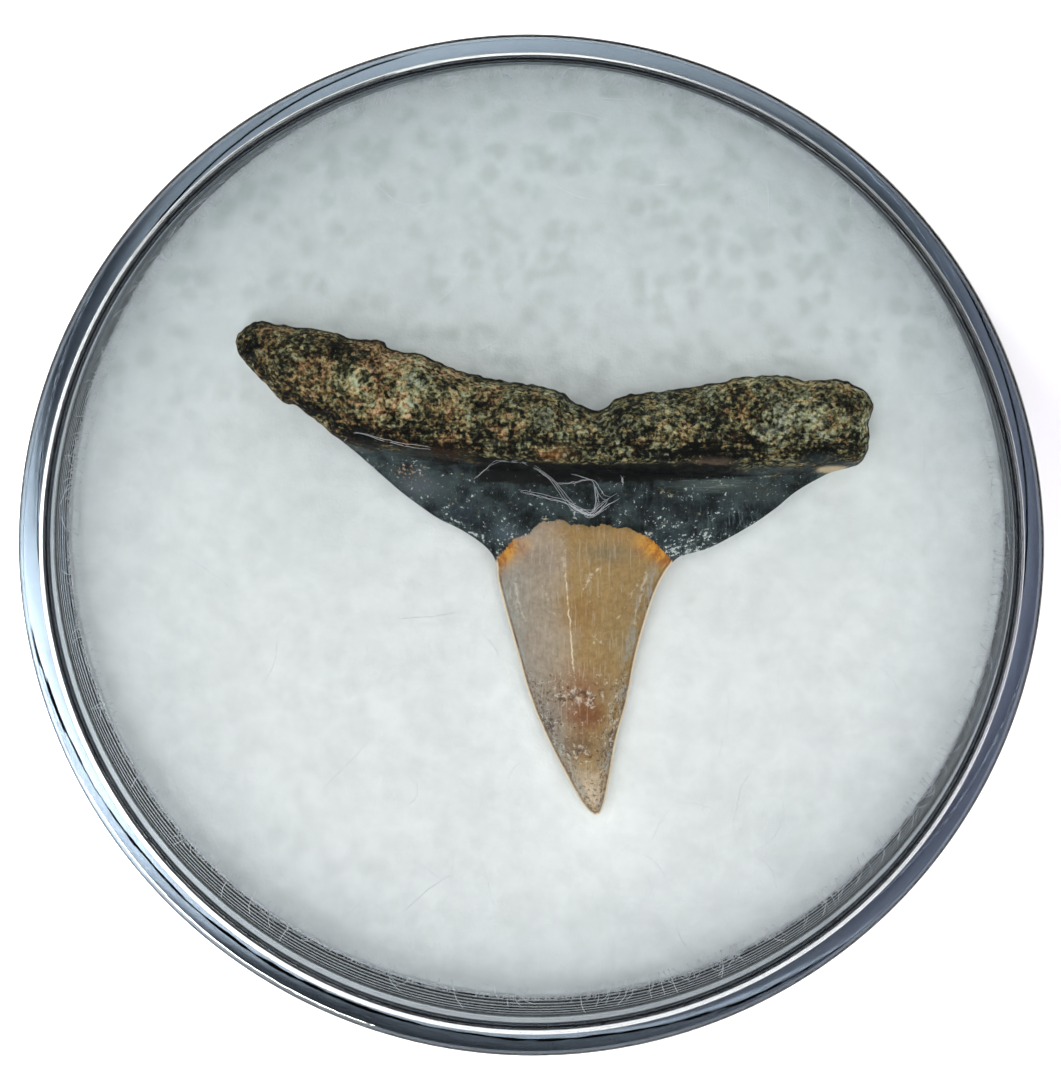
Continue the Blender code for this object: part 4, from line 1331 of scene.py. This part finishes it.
class FOSSIL_OT_pad(bpy.types.Operator):
    """Make the felt pad"""

    bl_idname = "fossil.pad"
    bl_label = "Felt pad"

    def execute(self, context):
        """Close a round pad: a face, a side and a flat underside.

        The face is a square grid (u, v) pressed to a disc: x = u sqrt(1 - v^2 / 2), y = v sqrt(1 - u^2 / 2).
        Its height is from the felt's own formula. The side's rings follow the grid's border down.
        """
        settings = context.scene.felt_pad
        steps = np.linspace(-1.0, 1.0, PAD_CELLS + 1)
        across, along = np.meshgrid(steps, steps)
        x = across * np.sqrt(1.0 - along**2 / 2.0) * PAD_RADIUS + PAD_SHIFT[0]
        y = along * np.sqrt(1.0 - across**2 / 2.0) * PAD_RADIUS + PAD_SHIFT[1]
        face = np.stack([x, y, nested_pad_height(x, y)], axis=-1).reshape(-1, 3)
        number, quads = grid_faces(PAD_CELLS + 1, PAD_CELLS + 1)
        border = np.concatenate([number[0, :-1], number[:-1, -1], number[-1, :0:-1], number[:0:-1, 0]])
        around = len(border)
        down = np.linspace(0.0, 1.0, PAD_SIDE_RINGS + 1)[1:, None]
        edge = face[border]
        round_in = 1.0 - SIDE_TURN * (2.0 * down - 1.0) ** SIDE_TURN_POWER
        angle = np.arctan2(edge[:, 1], edge[:, 0])
        waves = lattice_noise(angle * SIDE_WAVES_AROUND, down * SIDE_WAVES_DOWN, 1.0, SIDE_SEED)
        flat = edge[None, :, :2] * round_in[..., None] * (1.0 + SIDE_WAVE * waves)[..., None]
        side = with_height(flat, edge[None, :, 2] + (PAD_FOOT_Z - edge[None, :, 2]) * down).reshape(-1, 3)
        first = len(face)
        rings = np.concatenate([border, first + np.arange(len(side))]).reshape(-1, around)
        after = np.roll(rings, -1, axis=1)
        walls = np.stack([rings[:-1], rings[1:], after[1:], after[:-1]], axis=-1).reshape(-1, 4)
        centre = first + len(side)
        foot = np.stack([np.full(around, centre), np.roll(rings[-1], -1), rings[-1]], axis=-1)
        points = np.concatenate([face, side, [[0.0, 0.0, PAD_FOOT_Z]]])
        pad = new_piece("felt_pad", points, [quads, walls, foot], felt_material(settings))
        # Masks for the felt's painted light round the tooth and its painted shade in the dimples.
        set_attribute(pad, "near", np.exp(-distance_to_outline(points[:, 0], points[:, 1]) / PAINTED_LIGHT_REACH))
        set_attribute(pad, "dimple", dimples(points[:, 0], points[:, 1]))
        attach(pad, BODY)
        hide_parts("fibre_pad")
        return {"FINISHED"}


class FOSSIL_OT_fibres(bpy.types.Operator):
    """Make the pad's loose fibres"""

    bl_idname = "fossil.fibres"
    bl_label = "Fibres"

    def execute(self, context):
        """Lay thin tubes along wandering lines: on the pad, round its edge, up the wall and over the tooth.

        A tube's line is a flat line (x, y) with a height at each place. Each method gives the lines and how
        thick the fibres are along them.
        """
        settings = context.scene.felt_pad
        material = fibre_material()
        rng = np.random.default_rng(FIBRE_SEED)
        radius = settings.thickness / MM / 2
        for name, (paths, thick) in (
            ("face_fibres", self.on_face(settings.face_fibres, rng)),
            ("edge_fibres", self.at_edge(settings.edge_fibres, rng)),
            ("wall_fibres", self.on_wall(settings.wall_fibres, rng)),
            ("tooth_fibres", self.on_tooth(context.scene.fossil_tooth.grain, radius, rng)),
        ):
            points, faces = make_tubes(paths, radius * thick)
            fibres = new_piece(name, points, faces, material)
            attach(fibres, BODY)
        return {"FINISHED"}

    @staticmethod
    def on_face(count, rng):
        """Fibres that keep to the felt's height and rise a little in the middle."""
        angle = rng.uniform(0.0, 2 * math.pi, count)
        start = on_circle(PAD_RADIUS * np.sqrt(rng.uniform(0.0, 1.0, count)), angle)
        length = rng.uniform(*FACE_FIBRE_LENGTHS, count)
        heading = rng.uniform(0.0, 2 * math.pi, count)
        flat = wander(start, heading, length, FACE_FIBRE_STEPS, FACE_FIBRE_CURL, rng)
        under_tooth = inside_outline(flat[..., 0], flat[..., 1]).any(axis=1)
        outside = (np.hypot(flat[..., 0], flat[..., 1]) > PAD_RADIUS).any(axis=1)
        flat = flat[~(under_tooth | outside)]
        bow = np.sin(np.linspace(0.0, 1.0, FACE_FIBRE_STEPS) * math.pi)
        lift = rng.uniform(0.0, FACE_FIBRE_LIFT, (len(flat), 1)) * bow
        paths = with_height(flat, pad_height(flat[..., 0], flat[..., 1]) + lift)
        return paths, rng.uniform(*THICKNESSES, (len(flat), 1)) * thin_ends(bow, FACE_FIBRE_ENDS)

    @staticmethod
    def at_edge(count, rng):
        """Fibres that leave the pad's edge outwards as far as the base's wall, and lift or fall."""
        angle = rng.uniform(0.0, 2 * math.pi, count)
        start = on_circle(PAD_RADIUS - rng.uniform(0.0, EDGE_FIBRES_REACH, count) ** EDGE_FIBRES_POWER, angle)
        length = rng.uniform(*EDGE_FIBRE_LENGTHS, count)
        heading = angle + rng.normal(0.0, EDGE_FIBRE_FAN, count)
        flat = wander(start, heading, length, EDGE_FIBRE_STEPS, EDGE_FIBRE_CURL, rng)
        out = np.hypot(flat[..., 0], flat[..., 1])
        flat = flat * np.minimum(1.0, (BASE_INNER - WALL_CLEARANCE) / out)[..., None]
        share = np.linspace(0.0, 1.0, EDGE_FIBRE_STEPS)
        height = pad_height(start[:, 0], start[:, 1])[:, None] + EDGE_FIBRE_LIFT
        height = height + rng.normal(*EDGE_FIBRE_RISE, (count, 1)) * share
        height = height - rng.uniform(0.0, EDGE_FIBRE_SPREAD, (count, 1)) ** 3 * EDGE_FIBRE_DROP
        thick = rng.uniform(*THICKNESSES, (count, 1)) * (1.0 - EDGE_FIBRE_THINNING * share)
        return with_height(flat, height), thick

    @staticmethod
    def on_wall(count, rng):
        """Fibres that leave the pad's edge and climb the jar's wall, half of them in a few places."""
        share = np.linspace(0.0, 1.0, WALL_FIBRE_STEPS)
        angle = rng.choice(WALL_FIBRE_PLACES, count) + rng.normal(0.0, WALL_FIBRE_SPREAD, count)
        anywhere = rng.uniform(0.0, 1.0, count) < WALL_FIBRES_ANYWHERE
        angle = np.where(anywhere, rng.uniform(0.0, 2 * math.pi, count), angle)[:, None]
        for bend, power in WALL_FIBRE_BENDS:
            angle = angle + rng.normal(0.0, bend, (count, 1)) * share**power
        out = WALL_FIBRE_OUT + WALL_FIBRE_LOOSE * rng.uniform(0.0, 1.0, (count, 1))
        reach = WALL_FIBRE_START + out * smooth_step(2.0 * share)
        climb = rng.uniform(0.0, 1.0, (count, 1)) ** WALL_FIBRE_CLIMB_POWER
        climb = WALL_FIBRE_CLIMB[0] + WALL_FIBRE_CLIMB[1] * climb
        paths = with_height(on_circle(reach, angle), WALL_FIBRE_LOW_Z + climb * share)
        return paths, (WALL_FIBRE_THICK[0] - WALL_FIBRE_THICK[1] * share)[None, :]

    def on_tooth(self, grain, radius, rng):
        """Fibres that lie on the tooth's own surface, or on the felt beside it."""
        flat = self.strand_lines(rng)
        x, y = flat[..., 0], flat[..., 1]
        front, _, zones = tooth_faces(x, y)
        front = front + fine_relief(x, y, zones, grain) + TOOTH_REST_Z - tooth_zero()
        height = np.where(inside_outline(x, y), front, pad_height(x, y)) + STRAND_LIFT * radius
        bow = np.sin(np.linspace(0.0, math.pi, STRAND_STEPS))
        return with_height(flat, height), (STRAND_THICKNESS * thin_ends(bow, STRAND_ENDS))[None, :]

    @staticmethod
    def strand_lines(rng):
        """The strands' flat lines: each follows its places, and those that lie together wander apart."""
        lines = []
        for places, count in STRANDS:
            curve = curve_through(places, STRAND_CURVE_STEPS)
            lengths = path_lengths(curve)
            at = np.linspace(0.0, lengths[-1], STRAND_STEPS)
            middle = np.stack([np.interp(at, lengths, curve[:, axis]) for axis in (0, 1)], axis=-1)
            drift = np.cumsum(rng.normal(0.0, STRAND_DRIFT, (count, STRAND_STEPS, 2)), axis=1)
            lines.append(middle + STRAND_SPREAD * (drift + rng.normal(0.0, 1.0, (count, 1, 2))))
        return np.concatenate(lines)


class FOSSIL_OT_jar(bpy.types.Operator):
    """Make the clear lid and base"""

    bl_idname = "fossil.jar"
    bl_label = "Clear jar"

    def execute(self, context):
        """Turn the lid and the base from profiles whose corners are rounded by arcs.

        The base's inner wall has fine moulded ridges: its radius is less by a wave of its height.
        """
        settings = context.scene.clear_jar
        lid_inner = JAR_RADIUS - LID_WALL
        lid_corners = (
            (0.0, JAR_HEIGHT, 0.0),
            (JAR_RADIUS, JAR_HEIGHT, settings.rim_rounding / MM),
            (JAR_RADIUS, LID_FOOT_Z, LID_FOOT_ROUND),
            (lid_inner, LID_FOOT_Z, LID_FOOT_ROUND),
            (lid_inner, JAR_HEIGHT - LID_TOP, LID_INNER_ROUND),
            (0.0, JAR_HEIGHT - LID_TOP, 0.0),
        )
        base_corners = (
            (0.0, BASE_FLOOR, 0.0),
            (BASE_INNER, BASE_FLOOR, BASE_FLOOR_ROUND),
            (BASE_INNER, BASE_TOP_Z, RIM_ROUND),
            (BASE_OUTER, BASE_TOP_Z, RIM_ROUND),
            (BASE_OUTER, 0.0, BASE_FOOT_ROUND),
            (0.0, 0.0, 0.0),
        )
        base_profile = self.ridged(rounded_profile(base_corners))
        lid = clear_material("clear_lid", settings.tint, settings.density, LID_WAVES_SCALE)
        lid = turned_piece("clear_lid", rounded_profile(lid_corners), lid)
        base = clear_material("clear_base", settings.tint, settings.base_density, BASE_WAVES_SCALE)
        base = turned_piece("clear_base", base_profile, base)
        for piece, node, slot in (
            (lid, "jar_lid", "clear_plastic_lid"),
            (base, "jar_base", "clear_plastic_base"),
        ):
            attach(piece, BODY)
            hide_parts(node)
        return {"FINISHED"}

    @staticmethod
    def ridged(profile):
        """The profile with more points up the base's inner wall, moved in by a wave."""
        on_wall = np.flatnonzero(abs(profile[:, 0] - BASE_INNER) < SAME_PLACE)
        low, high = profile[on_wall[0], 1], profile[on_wall[-1], 1]
        height = np.concatenate([[low], np.linspace(RIDGES_LOW_Z, high, RIDGE_POINTS)])
        fade = smooth_step((height - RIDGES_LOW_Z) / RIDGES_LOW_FADE)
        fade = fade * smooth_step((RIDGES_HIGH_Z - height) / RIDGES_HIGH_FADE)
        turns = height / RIDGE_PITCH + RIDGE_UNEVEN * np.sin(RIDGE_UNEVEN_RATE * height)
        wave = smooth_step(0.5 + RIDGE_STEEPNESS * np.cos(2 * math.pi * turns))
        wall = np.stack([BASE_INNER - RIDGE_HEIGHT * fade * wave, height], axis=-1)
        return np.concatenate([profile[: on_wall[0]], wall, profile[on_wall[-1] + 1 :]])


class FOSSIL_OT_stage(bpy.types.Operator):
    """Set the floor, the light and the camera"""

    bl_idname = "fossil.stage"
    bl_label = "Stage"

    def execute(self, context):
        """Put a pale floor under the jar, a soft studio round it, and the camera above it."""
        settings = context.scene.studio
        self.floor(settings)
        self.world(context.scene, settings)
        for azimuth, elevation, distance, width, colour, power in LAMPS:
            self.lamp(context.scene, azimuth, elevation, distance, width, colour, power * settings.brightness)
        self.camera(context.scene)
        context.scene.view_settings.view_transform = "Standard"
        for name, value in PATH_SETTINGS.items():
            setattr(context.scene.cycles, name, value)
        return {"FINISHED"}

    @staticmethod
    def floor(settings):
        """A flat grid of squares."""
        half = settings.floor_reach / MM / 2
        steps = np.linspace(-half, half, FLOOR_CELLS + 1)
        x, y = np.meshgrid(steps, steps)
        points = np.stack([x, y, np.full_like(x, -FLOOR_GAP)], axis=-1)
        _, quads = grid_faces(*x.shape)
        floor = new_piece("floor", points, [quads], floor_material())

    @staticmethod
    def world(scene, settings):
        """Light from all round by height, dim overhead so that the window hardly mirrors it."""
        world = bpy.data.worlds.new("studio")
        world.use_nodes = True
        nodes, links = world.node_tree.nodes, world.node_tree.links
        direction = nodes.new("ShaderNodeTexCoord").outputs["Generated"]
        parts = nodes.new("ShaderNodeSeparateXYZ")
        links.new(direction, parts.inputs[0])
        ramp = nodes.new("ShaderNodeValToRGB")
        ramp.color_ramp.interpolation = "EASE"
        set_stops(ramp.color_ramp, [(height, (grey, grey, grey)) for height, grey in SKY])
        links.new(parts.outputs["Z"], ramp.inputs["Fac"])
        links.new(ramp.outputs["Color"], nodes["Background"].inputs["Color"])
        nodes["Background"].inputs["Strength"].default_value = settings.brightness
        world.cycles.sampling_method = "NONE"
        scene.world = world

    @staticmethod
    def lamp(scene, azimuth, elevation, distance, width, colour, power):
        """A soft round lamp that points at the jar. Its azimuth is counted from +X towards +Y."""
        data = bpy.data.lights.new("lamp", "AREA")
        data.shape = "DISK"
        data.size = width * MM
        data.color = colour
        data.energy = power
        turn, rise = math.radians(azimuth), math.radians(elevation)
        away = Vector((math.cos(turn) * math.cos(rise), math.sin(turn) * math.cos(rise), math.sin(rise)))
        lamp = bpy.data.objects.new("lamp", data)
        lamp.location = away * distance * MM
        lamp.rotation_euler = away.to_track_quat("Z", "Y").to_euler()
        lamp.visible_camera = False
        lamp.visible_glossy = distance > NEAR_LAMP
        lamp.visible_transmission = distance > NEAR_LAMP
        scene.collection.objects.link(lamp)

    @staticmethod
    def camera(scene):
        """Look down at the rim, from a little up and to the right of the jar's axis."""
        tilt = math.radians(CAMERA_TILT)
        side = Vector((*CAMERA_SIDE, 0.0)).normalized()
        back = (side * math.sin(tilt) + Vector((0.0, 0.0, math.cos(tilt)))).normalized()
        right = Vector((0.0, 1.0, 0.0)).cross(back).normalized()
        up = back.cross(right)
        data = bpy.data.cameras.new("camera")
        data.sensor_fit = "HORIZONTAL"
        data.sensor_width = SENSOR_WIDTH
        data.lens = SENSOR_WIDTH * PIXELS_PER_MM * CAMERA_DISTANCE / PHOTO_WIDTH
        data.shift_x = (PHOTO_WIDTH / 2 - RIM_MIDDLE_PIXEL[0]) / PHOTO_WIDTH
        data.shift_y = (RIM_MIDDLE_PIXEL[1] - PHOTO_HEIGHT / 2) / PHOTO_WIDTH
        data.clip_start = 0.001
        camera = bpy.data.objects.new("camera", data)
        place = Vector((0.0, 0.0, JAR_HEIGHT * MM)) + back * CAMERA_DISTANCE * MM
        turn = Matrix((right, up, back)).transposed().to_4x4()
        camera.matrix_world = Matrix.Translation(place) @ turn
        scene.collection.objects.link(camera)
        scene.camera = camera


class FOSSIL_PT_panel(bpy.types.Panel):
    """The fossil's pieces and settings"""

    bl_label = "Fossil Tooth"
    bl_idname = "FOSSIL_PT_panel"
    bl_space_type = "VIEW_3D"
    bl_region_type = "UI"
    bl_category = "Fossil Tooth"

    def draw(self, context):
        """List each group of settings and then the buttons."""
        for group in SETTINGS:
            values = getattr(context.scene, group)
            box = self.layout.box()
            for name in values.bl_rna.properties.keys():
                if name not in {"rna_type", "name"}:
                    box.prop(values, name)
        for operator in OPERATORS:
            self.layout.operator(operator.bl_idname)


SETTINGS = {
    "fossil_tooth": ToothSettings,
    "felt_pad": PadSettings,
    "clear_jar": JarSettings,
    "studio": StageSettings,
}
OPERATORS = (FOSSIL_OT_stage, FOSSIL_OT_tooth, FOSSIL_OT_pad, FOSSIL_OT_fibres, FOSSIL_OT_jar)


def register():
    """Add the classes, and the settings to the scene."""
    for kind in (*SETTINGS.values(), *OPERATORS, FOSSIL_PT_panel):
        bpy.utils.register_class(kind)
    for name, kind in SETTINGS.items():
        setattr(bpy.types.Scene, name, PointerProperty(type=kind))


def unregister():
    """Take them away again."""
    for name in SETTINGS:
        delattr(bpy.types.Scene, name)
    for kind in reversed((*SETTINGS.values(), *OPERATORS, FOSSIL_PT_panel)):
        bpy.utils.unregister_class(kind)


def main():
    """Make the whole scene."""
    register()
    for operator in ("stage", "tooth", "pad", "fibres", "jar"):
        getattr(bpy.ops.fossil, operator)()


if __name__ == "__main__":
    main()
